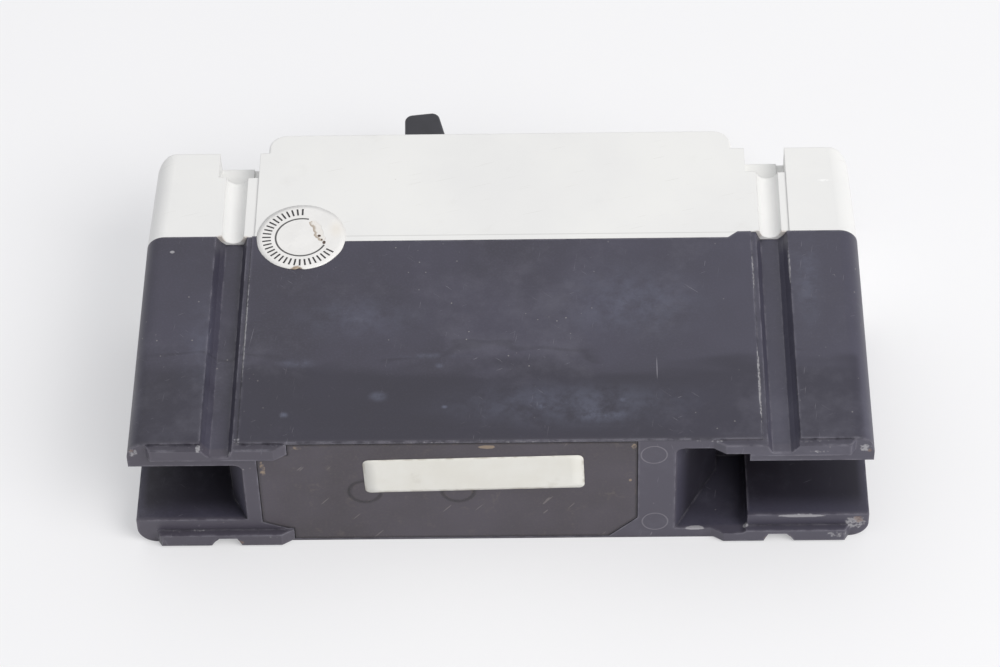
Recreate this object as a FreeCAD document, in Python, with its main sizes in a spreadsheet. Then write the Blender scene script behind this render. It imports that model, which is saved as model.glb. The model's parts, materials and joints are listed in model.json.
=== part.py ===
import FreeCAD, Part
import math
import os
import re
import Sketcher
from collections import namedtuple

# Single-pole ground-fault circuit breaker, one inch wide, in millimetres.
# X runs along the case from the line end (-) to the load end (+), Y from the back
# mounting face towards the toggle, and Z across the width. The breaker lies on its
# wide side. The origin is the centre of the back face.

os.makedirs("parts", exist_ok=True)
doc = FreeCAD.newDocument("gfci_breaker")
Vector = FreeCAD.Vector

CASE = {
    "case_length": 123.8,
    "case_width": 25.4,
    "front_depth": 72.4,
    "ear_depth": 67.8,
    "ear_draft": 0.7,
    "corner_radius": 3.4,
    "parting_depth": 47.4,
    "parting_step": 1.4,
    "parting_half": 39.3,
    "parting_slope": 1.7,
    "raised_left": 41.4,
    "raised_right": 40.6,
    "raised_radius": 3.2,
    "front_radius": 0.4,
    "side_wall": 1.8,
    "front_wall": 2.0,
    "end_wall": 2.0,
}

GROOVES = {
    "groove_spacing": 93.4,
    "groove_radius": 1.95,
    "groove_sink": 1.75,
    "pocket_inner": 3.8,
    "pocket_outer": 3.3,
    "pocket_height": 4.05,
    "pocket_floor": 61.95,
    "strip_width": 1.9,
    "strip_depth": 0.25,
    "slot_width": 1.3,
    "slot_depth": 0.4,
    "channel_inner": 3.4,
    "channel_outer": 2.9,
    "channel_height": 2.1,
    "channel_slope": 0.8,
    "channel_break": 1.3,
    "channel_step": 0.25,
    "channel_ledge": 0.9,
}

FEET = {
    "foot_inner": 37.4,
    "foot_setback": 4.0,
    "foot_height": 1.3,
    "foot_ramp": 2.1,
    "foot_toe": 0.8,
    "foot_width": 2.6,
    "foot_inset": 0.35,
}

CHAMBERS = {
    "mouth_flare": 3.8,
    "mouth_radius": 1.4,
    "lip_flare": 1.2,
    "lip_depth": 5.0,
    "bend_depth": 12.0,
    "window_depth": 38.5,
    "funnel_left": 29.1,
    "funnel_right": 41.4,
    "funnel_width": 20.7,
    "funnel_run": 7.4,
    "funnel_slope_depth": 13.0,
    "funnel_depth": 16.0,
    "neutral_depth": 18.8,
}

INSIDE = {
    "room_left": 38.6,
    "room_right": 34.6,
    "web_depth": 20.0,
    "web_thickness": 2.0,
    "pedestal_length": 12.0,
    "board_room_left": 34.4,
    "board_room_right": 17.2,
    "board_ledge": 1.3,
}

PLATE = {
    "plate_left": 40.4,
    "plate_right": 22.75,
    "plate_lip": 0.55,
    "plate_thickness": 3.0,
    "plate_gap": 0.1,
    "notch_length": 5.2,
    "notch_run": 4.16,
    "notch_top_width": 2.55,
    "notch_low_width": 2.75,
    "notch_low_rise": 1.7,
    "plate_chamfer": 4.8,
    "plug_radius": 2.7,
    "plug_thickness": 0.8,
    "plug_left": 22.8,
    "plug_right": 7.2,
}

FASTENERS = {
    "plate_screw_radius": 1.4,
    "plate_screw_head": 2.5,
    "plate_screw_head_depth": 1.4,
    "post_radius": 3.2,
    "cover_screw_radius": 1.25,
    "cover_screw_head": 2.1,
    "cover_screw_head_depth": 2.0,
    "cover_screw_length": 36.0,
    "cover_screw_inset": 6.2,
    "cover_screw_rise": 9.3,
    "driver_slot_width": 0.62,
    "driver_slot_depth": 1.0,
    "counterbore_gap": 0.15,
}

TERMINALS = {
    "strap_level": 36.0,
    "strap_thickness": 1.6,
    "strap_width": 8.0,
    "strap_gap": 0.1,
    "strap_setback": 0.5,
    "lug_inset": 2.4,
    "lug_gap": 0.7,
    "lug_side_gap": 0.45,
    "lug_length": 12.0,
    "lug_height": 16.0,
    "lug_width": 13.2,
    "wire_radius": 4.3,
    "wire_level": 27.0,
    "lug_screw_radius": 2.6,
    "lug_screw_length": 14.0,
    "lug_screw_rest": 0.5,
    "lug_screw_gap": 0.05,
    "strap_hole_gap": 0.4,
    "hex_socket": 3.0,
    "hex_depth": 3.0,
    "access_radius": 3.6,
    "neutral_plate_width": 6.0,
    "neutral_plate_thickness": 1.2,
    "neutral_plate_left": 35.5,
    "neutral_plate_reach": 6.4,
    "neutral_plate_top": 33.6,
    "neutral_screw_radius": 1.5,
    "neutral_screw_head": 2.9,
    "neutral_screw_head_depth": 2.0,
    "neutral_screw_length": 6.0,
    "neutral_screw_gap": 0.4,
    "neutral_slot_width": 1.0,
    "neutral_slot_depth": 1.0,
}

MECHANISM = {
    "handle_pivot_x": -11.2,
    "handle_pivot_y": 58.0,
    "handle_lean": 7.6,
    "handle_swing": 20.0,
    "handle_reach": 28.9,
    "handle_root": 6.2,
    "handle_tip": 3.05,
    "handle_width": 8.0,
    "handle_gap": 0.45,
    "hub_radius": 5.2,
    "hub_width": 10.0,
    "skirt_gap": 0.3,
    "skirt_thickness": 1.2,
    "skirt_width": 12.0,
    "skirt_angle": 110.0,
    "tip_radius": 1.5,
    "tip_edge": 0.7,
    "pin_radius": 1.5,
    "pin_gap": 0.08,
    "yoke_plate": 1.0,
    "yoke_half": 3.0,
    "yoke_drop": 9.2,
    "yoke_gap": 0.6,
    "frame_width": 17.6,
    "frame_plate": 1.2,
    "frame_left": 26.0,
    "frame_right": 6.0,
    "frame_base": 1.4,
    "frame_lug": 2.4,
    "frame_front": 64.0,
    "arm_pivot_x": 2.0,
    "arm_pivot_y": 42.0,
    "arm_open": 12.0,
    "arm_length": 35.0,
    "arm_tail": 4.0,
    "arm_thickness": 2.0,
    "arm_width": 5.0,
    "arm_hub_radius": 3.0,
    "arm_hub_width": 8.0,
    "contact_place": 33.0,
    "contact_radius": 2.1,
    "fixed_contact_height": 1.2,
    "contact_gap": 0.15,
    "lever_pivot_x": -17.0,
    "lever_pivot_y": 50.0,
    "lever_droop": 6.0,
    "lever_length": 28.3,
    "lever_nose": 1.5,
    "lever_thickness": 1.4,
    "lever_side": 3.2,
    "lever_hub_radius": 3.5,
    "lever_pin_radius": 1.2,
    "armature_pivot_x": 12.6,
    "armature_pivot_y": 40.0,
    "armature_height": 21.2,
    "armature_thickness": 1.2,
    "armature_width": 9.0,
    "armature_hub_radius": 2.0,
    "armature_hub_width": 10.0,
    "armature_pin_radius": 1.0,
    "window_low": 5.0,
    "window_high": 13.0,
    "window_gap": 0.5,
    "bimetal_place": 16.2,
    "bimetal_thickness": 1.0,
    "bimetal_width": 7.0,
    "bimetal_top": 57.0,
    "magnet_place": 18.2,
    "magnet_thickness": 1.6,
    "magnet_side": 1.2,
    "magnet_reach": 2.4,
    "magnet_width": 12.8,
    "magnet_low": 42.0,
    "magnet_high": 54.0,
    "calibration_radius": 1.25,
    "calibration_length": 5.0,
    "calibration_level": 50.0,
    "braid_radius": 0.7,
    "braid_bend": 1.2,
    "braid_side": 6.3,
    "braid_rise": 9.3,
    "braid_start_drop": 0.9,
    "main_spring_radius": 0.85,
    "main_spring_wire": 0.2,
    "main_spring_turns": 9,
}

ARC_CHUTE = {
    "arc_left": 38.4,
    "arc_right": 32.6,
    "arc_notch": 2.5,
    "arc_notch_width": 6.2,
    "arc_gap": 0.15,
    "arc_plate": 1.0,
    "arc_pitch": 3.2,
    "arc_level": 41.0,
    "arc_count": 5,
    "board_thickness": 0.85,
    "board_right": 29.0,
    "board_low": 38.6,
    "board_high": 56.6,
}

SENSOR = {
    "sensor_place": 26.0,
    "core_inner": 6.2,
    "core_outer": 8.4,
    "core_width": 4.0,
    "loop_gap": 0.12,
    "loop_wire": 0.5,
    "loop_width": 1.0,
    "loop_count": 16,
    "saddle_width": 8.0,
    "lead_radius": 0.45,
    "lead_side": 3.0,
    "lead_drop": 8.2,
    "lead_place": 10.0,
    "lead_bend": 2.0,
    "neutral_radius": 1.0,
    "neutral_drop": 4.2,
    "neutral_place": 13.8,
    "neutral_bend": 3.0,
}

SOLENOID = {
    "solenoid_level": 60.0,
    "solenoid_left": 20.8,
    "solenoid_right": 34.6,
    "solenoid_plate": 1.2,
    "solenoid_low": 53.2,
    "solenoid_fit": 0.1,
    "bridge_width": 12.0,
    "bobbin_gap": 0.1,
    "flange_radius": 5.8,
    "flange_thickness": 1.0,
    "bobbin_radius": 3.3,
    "bobbin_bore": 2.65,
    "coil_radius": 5.5,
    "plunger_radius": 2.4,
    "plunger_length": 8.4,
    "stem_radius": 1.2,
    "stem_hole_gap": 0.7,
    "stem_left": 10.0,
    "head_radius": 2.4,
    "head_thickness": 1.0,
    "collar_place": 15.6,
    "collar_radius": 2.0,
    "collar_thickness": 0.8,
    "plunger_spring_radius": 1.7,
    "plunger_spring_wire": 0.22,
    "plunger_spring_turns": 5,
}

TEST = {
    "button_place": 6.0,
    "button_length": 5.5,
    "button_width": 9.0,
    "button_sink": 0.4,
    "button_gap": 0.25,
    "button_flange": 1.0,
    "button_flange_depth": 1.6,
    "button_flange_gap": 0.2,
    "button_edge": 0.5,
    "button_stem_radius": 1.5,
    "button_stem_length": 5.6,
    "bracket_left": 1.6,
    "bracket_right": 10.6,
    "bracket_level": 63.2,
    "bracket_thickness": 1.2,
    "bracket_fit": 0.1,
    "test_spring_radius": 2.3,
    "test_spring_wire": 0.3,
    "test_spring_turns": 4,
    "blade_thickness": 0.4,
    "blade_level": 60.6,
    "blade_width": 4.0,
    "blade_right": 8.9,
}

BOARD = {
    "board_level": 13.5,
    "circuit_thickness": 1.6,
    "board_gap": 0.4,
    "part_margin": 1.1,
    "post_gap": 0.4,
    "can_radius": 3.5,
    "can_height": 8.0,
    "can_left": 7.4,
    "can_right": 9.6,
    "resistor_radius": 1.2,
    "resistor_length": 6.4,
    "resistor_place": 4.6,
    "resistor_pitch": 2.6,
    "resistor_count": 3,
    "chip_length": 8.0,
    "chip_width": 6.2,
    "chip_height": 2.4,
    "chip_place": 4.2,
    "varistor_radius": 4.6,
    "varistor_thickness": 3.2,
    "varistor_inset": 8.0,
    "thyristor_radius": 2.3,
    "thyristor_height": 5.0,
    "thyristor_place": 3.0,
}

SIZES = {
    **CASE,
    **GROOVES,
    **FEET,
    **CHAMBERS,
    **INSIDE,
    **PLATE,
    **FASTENERS,
    **TERMINALS,
    **MECHANISM,
    **ARC_CHUTE,
    **SENSOR,
    **SOLENOID,
    **TEST,
    **BOARD,
}

# Places that several pieces share, as formulas of the sheet's values.
HALF_LENGTH = "case_length / 2"
HALF_WIDTH = "case_width / 2"
ROOM_HALF = "(case_width / 2 - side_wall)"
FLOOR = "(web_depth + web_thickness)"
ROOF = "(front_depth - front_wall)"
GROOVE = "(groove_spacing / 2)"
LUG_CENTRE = "(case_length / 2 - lug_inset - lug_length / 2)"
CHAMBER_WALL = f"({LUG_CENTRE} - lug_length / 2 - lug_gap)"
CHAMBER_HALF = "(lug_width / 2 + lug_side_gap)"
FUNNEL_END = "(funnel_left + funnel_run)"
NEUTRAL_SCREW = f"({FUNNEL_END} + neutral_screw_gap + neutral_screw_head)"
ARC_HALF = f"({ROOM_HALF} - arc_gap - board_thickness)"
BOARD_HALF = f"({ROOM_HALF} - board_gap)"
STRAP_TOP = "(strap_level + strap_thickness)"
STRAP_MIDDLE = "(strap_level + strap_thickness / 2)"
MAGNET_BACK = "(magnet_place + magnet_thickness)"

# How far a cut runs past the face that it opens, how near a face an edge counts as
# lying on it, the cosine within which an edge counts as parallel to an axis, and the
# cosine of a diagonal.
OVERCUT = 1
ON_FACE = 0.01
PARALLEL = math.cos(math.radians(10))
DIAGONAL = math.cos(math.radians(45))

sheet = doc.addObject("Spreadsheet::Sheet", "size")
for row, (alias, value) in enumerate(SIZES.items(), 1):
    sheet.set(f"A{row}", alias)
    sheet.set(f"B{row}", str(value))
    sheet.setAlias(f"B{row}", alias)
doc.recompute()

Circle = namedtuple("Circle", "x y radius")
NORMAL = {"XY": 1, "XZ": -1, "YZ": 1}
nodes = []


def linked(formula):
    """The formula with each size's name pointing at the sheet."""
    return re.sub(r"[a-z_]+", lambda word: "size." + word[0] if word[0] in SIZES else word[0], formula)


def number(formula):
    """The formula's present value."""
    return float(sheet.evalExpression(linked(formula)))


def bind(thing, field, formula):
    thing.setExpression(field, linked(formula))


def place(thing, x, y, z):
    for letter, formula in zip("xyz", (x, y, z)):
        bind(thing, f"Placement.Base.{letter}", formula)


def keep(thing):
    """Marks an object as one of the breaker's finished pieces."""
    thing.Label = thing.Name
    nodes.append(thing)
    return thing


def block(name, x, y, z):
    """A box between a low and a high formula on each axis."""
    box = doc.addObject("Part::Box", name)
    for side, letter, (low, high) in zip(("Length", "Width", "Height"), "xyz", (x, y, z)):
        bind(box, side, f"({high}) - ({low})")
        bind(box, f"Placement.Base.{letter}", low)
    return box


TURNS = {
    "x": FreeCAD.Rotation(Vector(0, 1, 0), 90),
    "y": FreeCAD.Rotation(Vector(1, 0, 0), -90),
    "z": FreeCAD.Rotation(),
}


def rod(name, axis, start, length, radius):
    """A cylinder from its start point along an axis."""
    cylinder = doc.addObject("Part::Cylinder", name)
    cylinder.Placement = FreeCAD.Placement(Vector(), TURNS[axis])
    bind(cylinder, "Height", length)
    bind(cylinder, "Radius", radius)
    place(cylinder, *start)
    return cylinder


def fuse(name, *pieces):
    joined = doc.addObject("Part::MultiFuse", name)
    joined.Shapes = list(pieces)
    return joined


def cut(name, base, *tools):
    result = doc.addObject("Part::Cut", name)
    result.Base = base
    result.Tool = tools[0] if len(tools) == 1 else fuse(name + "_cuts", *tools)
    return result


def group(name, pieces):
    """Separate solids that share one node."""
    compound = doc.addObject("Part::Compound", name)
    compound.Links = pieces
    return compound


def mirrored(low, high):
    """A span on the +Z side and its mirror image on the -Z side."""
    return (low, high), (f"-({high})", f"-({low})")


def draw_polygon(sketch, points):
    values = [Vector(number(x), number(y), 0) for x, y in points]
    first = sketch.GeometryCount
    count = len(points)
    for index in range(count):
        sketch.addGeometry(Part.LineSegment(values[index], values[(index + 1) % count]))
    for index in range(count):
        follower = first + (index + 1) % count
        sketch.addConstraint(Sketcher.Constraint("Coincident", first + index, 2, follower, 1))
    for index, (x, y) in enumerate(points):
        for kind, formula, value in (("DistanceX", x, values[index].x), ("DistanceY", y, values[index].y)):
            constraint = sketch.addConstraint(Sketcher.Constraint(kind, first + index, 1, value))
            bind(sketch, f"Constraints[{constraint}]", formula)


def draw_circle(sketch, circle):
    centre = Vector(number(circle.x), number(circle.y), 0)
    radius = number(circle.radius)
    ring = sketch.addGeometry(Part.Circle(centre, Vector(0, 0, 1), radius))
    for kind, formula, value in (("DistanceX", circle.x, centre.x), ("DistanceY", circle.y, centre.y)):
        constraint = sketch.addConstraint(Sketcher.Constraint(kind, ring, 3, value))
        bind(sketch, f"Constraints[{constraint}]", formula)
    constraint = sketch.addConstraint(Sketcher.Constraint("Radius", ring, radius))
    bind(sketch, f"Constraints[{constraint}]", circle.radius)


def draw(body, name, plane, level, outlines):
    """A sketch on one of the body's origin planes, moved to a level along its axis."""
    sketch = body.newObject("Sketcher::SketchObject", name)
    origin = next(f for f in body.Origin.OriginFeatures if f.Role == plane + "_Plane")
    sketch.AttachmentSupport = [(origin, "")]
    sketch.MapMode = "FlatFace"
    bind(sketch, "AttachmentOffset.Base.z", f"{NORMAL[plane]} * ({level})")
    for outline in outlines:
        if isinstance(outline, Circle):
            draw_circle(sketch, outline)
        else:
            draw_polygon(sketch, outline)
    return sketch


def pad(body, name, plane, low, high, *outlines):
    """Material between two levels along the plane's axis."""
    sketch = draw(body, name + "_sketch", plane, low, outlines)
    feature = body.newObject("PartDesign::Pad", name)
    feature.Profile = sketch
    feature.Reversed = NORMAL[plane] < 0
    bind(feature, "Length", f"({high}) - ({low})")
    return feature


def pocket(body, name, plane, low, high, *outlines):
    """A cut between two levels along the plane's axis, which has to remove something."""
    doc.recompute()
    before = body.Shape.Volume
    sketch = draw(body, name + "_sketch", plane, low, outlines)
    feature = body.newObject("PartDesign::Pocket", name)
    feature.Profile = sketch
    feature.Reversed = NORMAL[plane] > 0
    bind(feature, "Length", f"({high}) - ({low})")
    doc.recompute()
    if body.Shape.Volume >= before:
        raise RuntimeError(f"{body.Name}: {name} cuts nothing")
    return feature


def round_edges(body, name, radius, wanted):
    """Fillets the edges that the test picks."""
    doc.recompute()
    base = body.Tip
    edges = [f"Edge{index}" for index, edge in enumerate(body.Shape.Edges, 1) if wanted(edge)]
    feature = body.newObject("PartDesign::Fillet", name)
    feature.Base = (base, edges)
    bind(feature, "Radius", radius)
    doc.recompute()
    return feature


def runs_along(edge, axis):
    """Whether an edge is straight and within ten degrees of an axis."""
    if not isinstance(edge.Curve, Part.Line):
        return False
    direction = edge.Vertexes[1].Point - edge.Vertexes[0].Point
    return abs(direction.normalize().dot(axis)) > PARALLEL


def leads_inwards(edge):
    """Whether an edge is straight and leads more along Y than across it."""
    if not isinstance(edge.Curve, Part.Line):
        return False
    direction = edge.Vertexes[1].Point - edge.Vertexes[0].Point
    return abs(direction.normalize().y) > DIAGONAL


def rectangle(x, y):
    (left, right), (low, high) = x, y
    return [(left, low), (right, low), (right, high), (left, high)]


ALONG_X = Vector(1, 0, 0)
ALONG_Y = Vector(0, 1, 0)
ALONG_Z = Vector(0, 0, 1)


def channel_outline(end, side):
    """The section of a mounting channel, at one end (-1 or 1) and on one side (-1 or 1)."""
    inner = f"({GROOVE} - channel_inner)"
    outer = f"({GROOVE} + channel_outer)"
    steps = [
        (outer, f"-{OVERCUT}"),
        (outer, "0"),
        (f"{outer} - channel_slope", "channel_break"),
        (f"{outer} - channel_slope * 2", "channel_height"),
        (f"{inner} + channel_ledge + channel_slope", "channel_height"),
        (f"{inner} + channel_ledge + channel_slope / 2", "channel_break"),
        (f"{inner} + channel_ledge", "channel_step"),
        (inner, "channel_step"),
        (inner, f"-{OVERCUT}"),
    ]
    return [(f"{end} * ({x})", f"{side} * (case_width / 2 - ({depth}))") for x, depth in steps]


def plate_outline(gap):
    """The back plate's outline, grown by a gap all round."""
    left = f"(-plate_left - {gap})"
    right = f"(plate_right + {gap})"
    top = f"(case_width / 2 - plate_lip + {gap})"
    return [
        (left, f"-{top} + notch_low_width + notch_low_rise"),
        (f"{left} + notch_run", f"-{top} + notch_low_width"),
        (f"{left} + notch_length", f"-{top} + notch_low_width"),
        (f"{left} + notch_length", f"-{top}"),
        (f"{right} - plate_chamfer", f"-{top}"),
        (right, f"-{top} + plate_chamfer"),
        (right, top),
        (f"{left} + notch_length", top),
        (f"{left} + notch_length", f"{top} - notch_top_width"),
        (left, f"{top} - notch_top_width"),
    ]


PLATE_SCREWS = ("-plug_left", "-plug_right")
COVER_SCREWS = [
    (f"{end} * (case_length / 2 - cover_screw_inset)", f"{side} * cover_screw_rise")
    for end in (-1, 1)
    for side in (-1, 1)
]


def base_housing():
    base = doc.addObject("PartDesign::Body", "base_housing")
    floor_plan = rectangle((f"-{HALF_LENGTH}", HALF_LENGTH), (f"-{HALF_WIDTH}", HALF_WIDTH))
    pad(base, "base_block", "XZ", "0", "parting_depth", floor_plan)
    round_edges(base, "base_corners", "corner_radius", lambda edge: runs_along(edge, ALONG_Y))
    low_parting = [
        ("-parting_half - parting_slope", "parting_depth"),
        ("-parting_half", "parting_depth - parting_step"),
        ("parting_half", "parting_depth - parting_step"),
        ("parting_half + parting_slope", "parting_depth"),
        ("parting_half", f"parting_depth + {OVERCUT}"),
        ("-parting_half", f"parting_depth + {OVERCUT}"),
    ]
    pocket(base, "base_step", "XY", f"-{HALF_WIDTH} - {OVERCUT}", f"{HALF_WIDTH} + {OVERCUT}", low_parting)
    base_feet(base)
    base_chambers(base)
    base_rooms(base)
    base_channels(base)
    base_holes(base)
    return keep(base)


def base_feet(base):
    for side, (low, high) in enumerate(mirrored(
            f"{HALF_WIDTH} - foot_inset - foot_width", f"{HALF_WIDTH} - foot_inset")):
        feet = []
        for end in (-1, 1):
            feet.append([
                (f"{end} * (foot_inner - foot_ramp)", f"{OVERCUT}"),
                (f"{end} * (foot_inner - foot_ramp)", "0"),
                (f"{end} * foot_inner", "-foot_height"),
                (f"{end} * ({HALF_LENGTH} - foot_setback)", "-foot_height"),
                (f"{end} * ({HALF_LENGTH} - foot_setback + foot_toe)", "0"),
                (f"{end} * ({HALF_LENGTH} - foot_setback + foot_toe)", f"{OVERCUT}"),
            ])
        pad(base, f"feet_{side}", "XY", low, high, *feet)


def base_chambers(base):
    line_chamber = [
        (f"-{HALF_LENGTH} - {OVERCUT}", f"-{OVERCUT}"),
        (f"-{CHAMBER_WALL} + mouth_flare", f"-{OVERCUT}"),
        (f"-{CHAMBER_WALL} + mouth_flare", "0"),
        (f"-{CHAMBER_WALL} + lip_flare", "lip_depth"),
        (f"-{CHAMBER_WALL}", "bend_depth"),
        (f"-{CHAMBER_WALL}", f"parting_depth + {OVERCUT}"),
        (f"-{HALF_LENGTH} + end_wall", f"parting_depth + {OVERCUT}"),
        (f"-{HALF_LENGTH} + end_wall", "window_depth"),
        (f"-{HALF_LENGTH} - {OVERCUT}", "window_depth"),
    ]
    load_chamber = [
        (f"{HALF_LENGTH} + {OVERCUT}", f"-{OVERCUT}"),
        (f"{HALF_LENGTH} + {OVERCUT}", "window_depth"),
        (f"{HALF_LENGTH} - end_wall", "window_depth"),
        (f"{HALF_LENGTH} - end_wall", f"parting_depth + {OVERCUT}"),
        (CHAMBER_WALL, f"parting_depth + {OVERCUT}"),
        (CHAMBER_WALL, "neutral_depth"),
        (FUNNEL_END, "neutral_depth"),
        (FUNNEL_END, f"-{OVERCUT}"),
    ]
    pocket(base, "chambers", "XY", f"-{CHAMBER_HALF}", CHAMBER_HALF, line_chamber, load_chamber)
    funnel = [
        ("funnel_left", f"-foot_height - {OVERCUT}"),
        ("funnel_left", "0"),
        (FUNNEL_END, "funnel_slope_depth"),
        (FUNNEL_END, "funnel_depth"),
        ("funnel_right", "funnel_depth"),
        ("funnel_right", f"-foot_height - {OVERCUT}"),
    ]
    pocket(base, "funnel", "XY", "-funnel_width / 2", "funnel_width / 2", funnel)
    round_edges(base, "mouth_corners", "mouth_radius", is_mouth_corner)


def is_mouth_corner(edge):
    """Whether an edge is one of the inner corners that the wire mouths' core pins rounded."""
    if not leads_inwards(edge):
        return False
    corners = [
        (f"-{CHAMBER_WALL}", f"-{CHAMBER_WALL} + mouth_flare", CHAMBER_HALF),
        ("funnel_left", FUNNEL_END, "funnel_width / 2"),
        ("funnel_right", "funnel_right", "-funnel_width / 2"),
    ]
    middle = edge.CenterOfMass
    for left, right, level in corners:
        in_span = number(left) - ON_FACE < middle.x < number(right) + ON_FACE
        if in_span and abs(middle.z - number(level)) < ON_FACE:
            return True
    return False


def base_rooms(base):
    pocket(base, "plate_seat", "XZ", "0", "plate_thickness", plate_outline("plate_gap"))
    board_room = rectangle(("-board_room_left", "board_room_right"), (f"-{ROOM_HALF}", ROOM_HALF))
    board_stop = "board_level + circuit_thickness"
    pocket(base, "board_room", "XZ", "plate_thickness", board_stop, board_room)
    upper_room = rectangle(
        ("-board_room_left + board_ledge", "board_room_right - board_ledge"),
        (f"-{ROOM_HALF} + board_ledge", f"{ROOM_HALF} - board_ledge"))
    pocket(base, "upper_board_room", "XZ", board_stop, "web_depth", upper_room)
    mechanism_room = [
        ("-room_left", "parting_depth"),
        ("-room_left", "strap_level"),
        ("-room_left + pedestal_length", "strap_level"),
        ("-room_left + pedestal_length", FLOOR),
        ("room_right", FLOOR),
        ("room_right", "parting_depth"),
    ]
    pocket(base, "mechanism_room", "XY", f"-{ROOM_HALF}", ROOM_HALF, mechanism_room)
    post = [Circle(x, "0", "post_radius") for x in PLATE_SCREWS]
    pad(base, "posts", "XZ", "plate_thickness", "web_depth", *post)
    saddle = rectangle(
        ("sensor_place - core_width / 2", "sensor_place + core_width / 2"),
        ("-saddle_width / 2", "saddle_width / 2"))
    saddle_top = f"{STRAP_MIDDLE} - core_outer - loop_gap - loop_wire"
    pad(base, "sensor_saddle", "XZ", FLOOR, saddle_top, saddle)


def base_channels(base):
    outlines = [channel_outline(end, side) for end in (-1, 1) for side in (-1, 1)]
    pocket(base, "channels", "XZ", f"-foot_height - {OVERCUT}", f"parting_depth + {OVERCUT}", *outlines)


def base_holes(base):
    screws = [Circle(x, "0", "plate_screw_radius") for x in PLATE_SCREWS]
    pocket(base, "plate_screw_holes", "XZ", "plate_thickness", FLOOR, *screws)
    screws = [Circle(x, z, "cover_screw_radius") for x, z in COVER_SCREWS]
    start = "ear_depth - cover_screw_head_depth - cover_screw_length"
    pocket(base, "cover_screw_holes", "XZ", start, "parting_depth", *screws)
    slot_width = ("-strap_width / 2 - strap_gap", "strap_width / 2 + strap_gap")
    slots = [
        rectangle((f"-{CHAMBER_WALL}", "-room_left"), slot_width),
        rectangle(("room_right", CHAMBER_WALL), slot_width),
    ]
    pocket(base, "strap_slots", "XZ", "strap_level - strap_gap", f"{STRAP_TOP} + strap_gap", *slots)
    neutral_slot = [
        ("room_right", "neutral_depth"),
        (FUNNEL_END, "neutral_depth"),
        (CHAMBER_WALL, "neutral_depth"),
        (CHAMBER_WALL, "neutral_depth + neutral_plate_thickness"),
        ("neutral_plate_left + neutral_plate_thickness", "neutral_depth + neutral_plate_thickness"),
        ("neutral_plate_left + neutral_plate_thickness", "neutral_plate_top"),
        ("room_right", "neutral_plate_top"),
    ]
    half = "neutral_plate_width / 2"
    pocket(base, "neutral_slot", "XY", f"-({half})", half, neutral_slot)
    screw = Circle(NEUTRAL_SCREW, "0", "neutral_screw_radius")
    pocket(base, "neutral_screw_hole", "XZ", "neutral_depth", "neutral_depth + neutral_screw_length", screw)
    leads = [Circle("neutral_place", "0", "neutral_radius + plate_gap")]
    leads += [Circle("lead_place", f"{side} * lead_side", "lead_radius + plate_gap") for side in (-1, 1)]
    pocket(base, "lead_holes", "XZ", "web_depth", FLOOR, *leads)


def front_cover():
    cover = doc.addObject("PartDesign::Body", "front_cover")
    outline = [
        (f"-{HALF_LENGTH}", "parting_depth"),
        ("-parting_half - parting_slope", "parting_depth"),
        ("-parting_half", "parting_depth - parting_step"),
        ("parting_half", "parting_depth - parting_step"),
        ("parting_half + parting_slope", "parting_depth"),
        (HALF_LENGTH, "parting_depth"),
        (f"{HALF_LENGTH} - ear_draft", "ear_depth"),
        (f"-{HALF_LENGTH} + ear_draft", "ear_depth"),
    ]
    pad(cover, "cover_block", "XY", f"-{HALF_WIDTH}", HALF_WIDTH, outline)
    at_the_ends = number(f"{HALF_LENGTH} - ear_draft - corner_radius")
    parting = number("parting_depth") + ON_FACE
    round_edges(cover, "cover_corners", "corner_radius",
                lambda edge: abs(edge.CenterOfMass.x) > at_the_ends and edge.CenterOfMass.y > parting)
    raised = rectangle(("-raised_left", "raised_right"), (f"-{HALF_WIDTH}", HALF_WIDTH))
    pad(cover, "raised_centre", "XZ", f"ear_depth - {OVERCUT}", "front_depth", raised)
    front = number("front_depth") - ON_FACE
    round_edges(cover, "raised_ends", "raised_radius",
                lambda edge: runs_along(edge, ALONG_Z) and edge.CenterOfMass.y > front)
    round_edges(cover, "front_edges", "front_radius",
                lambda edge: runs_along(edge, ALONG_X) and edge.BoundBox.YMin > front)
    cover_grooves(cover)
    cover_hollows(cover)
    cover_openings(cover)
    return keep(cover)


def cover_grooves(cover):
    pockets = []
    grooves = []
    strips = []
    slots = []
    for end in (-1, 1):
        for side in (-1, 1):
            outside = f"{side} * ({HALF_WIDTH} + {OVERCUT})"
            floor = f"{side} * ({HALF_WIDTH} - pocket_height)"
            inner = f"{end} * ({GROOVE} - pocket_inner)"
            outer = f"{end} * ({GROOVE} + pocket_outer)"
            pockets.append(rectangle((inner, outer), (floor, outside)))
            axis = f"{side} * ({HALF_WIDTH} + groove_radius - groove_sink)"
            grooves.append(Circle(f"{end} * {GROOVE}", axis, "groove_radius"))
            right = outer if end > 0 else inner
            strip_floor = f"{side} * ({HALF_WIDTH} - strip_depth)"
            strips.append(rectangle((f"{right} - strip_width", right), (strip_floor, outside)))
            slot_floor = f"{side} * ({HALF_WIDTH} - pocket_height - slot_depth)"
            slots.append(rectangle((f"{right} - slot_width", right), (slot_floor, outside)))
    pocket(cover, "screw_pockets", "XZ", "pocket_floor", f"ear_depth + {OVERCUT}", *pockets)
    pocket(cover, "grooves", "XZ", f"parting_depth - {OVERCUT}", "pocket_floor", *grooves)
    pocket(cover, "strips", "XZ", f"parting_depth - {OVERCUT}", "pocket_floor", *strips)
    pocket(cover, "pocket_slots", "XZ", "pocket_floor", f"ear_depth + {OVERCUT}", *slots)


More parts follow.
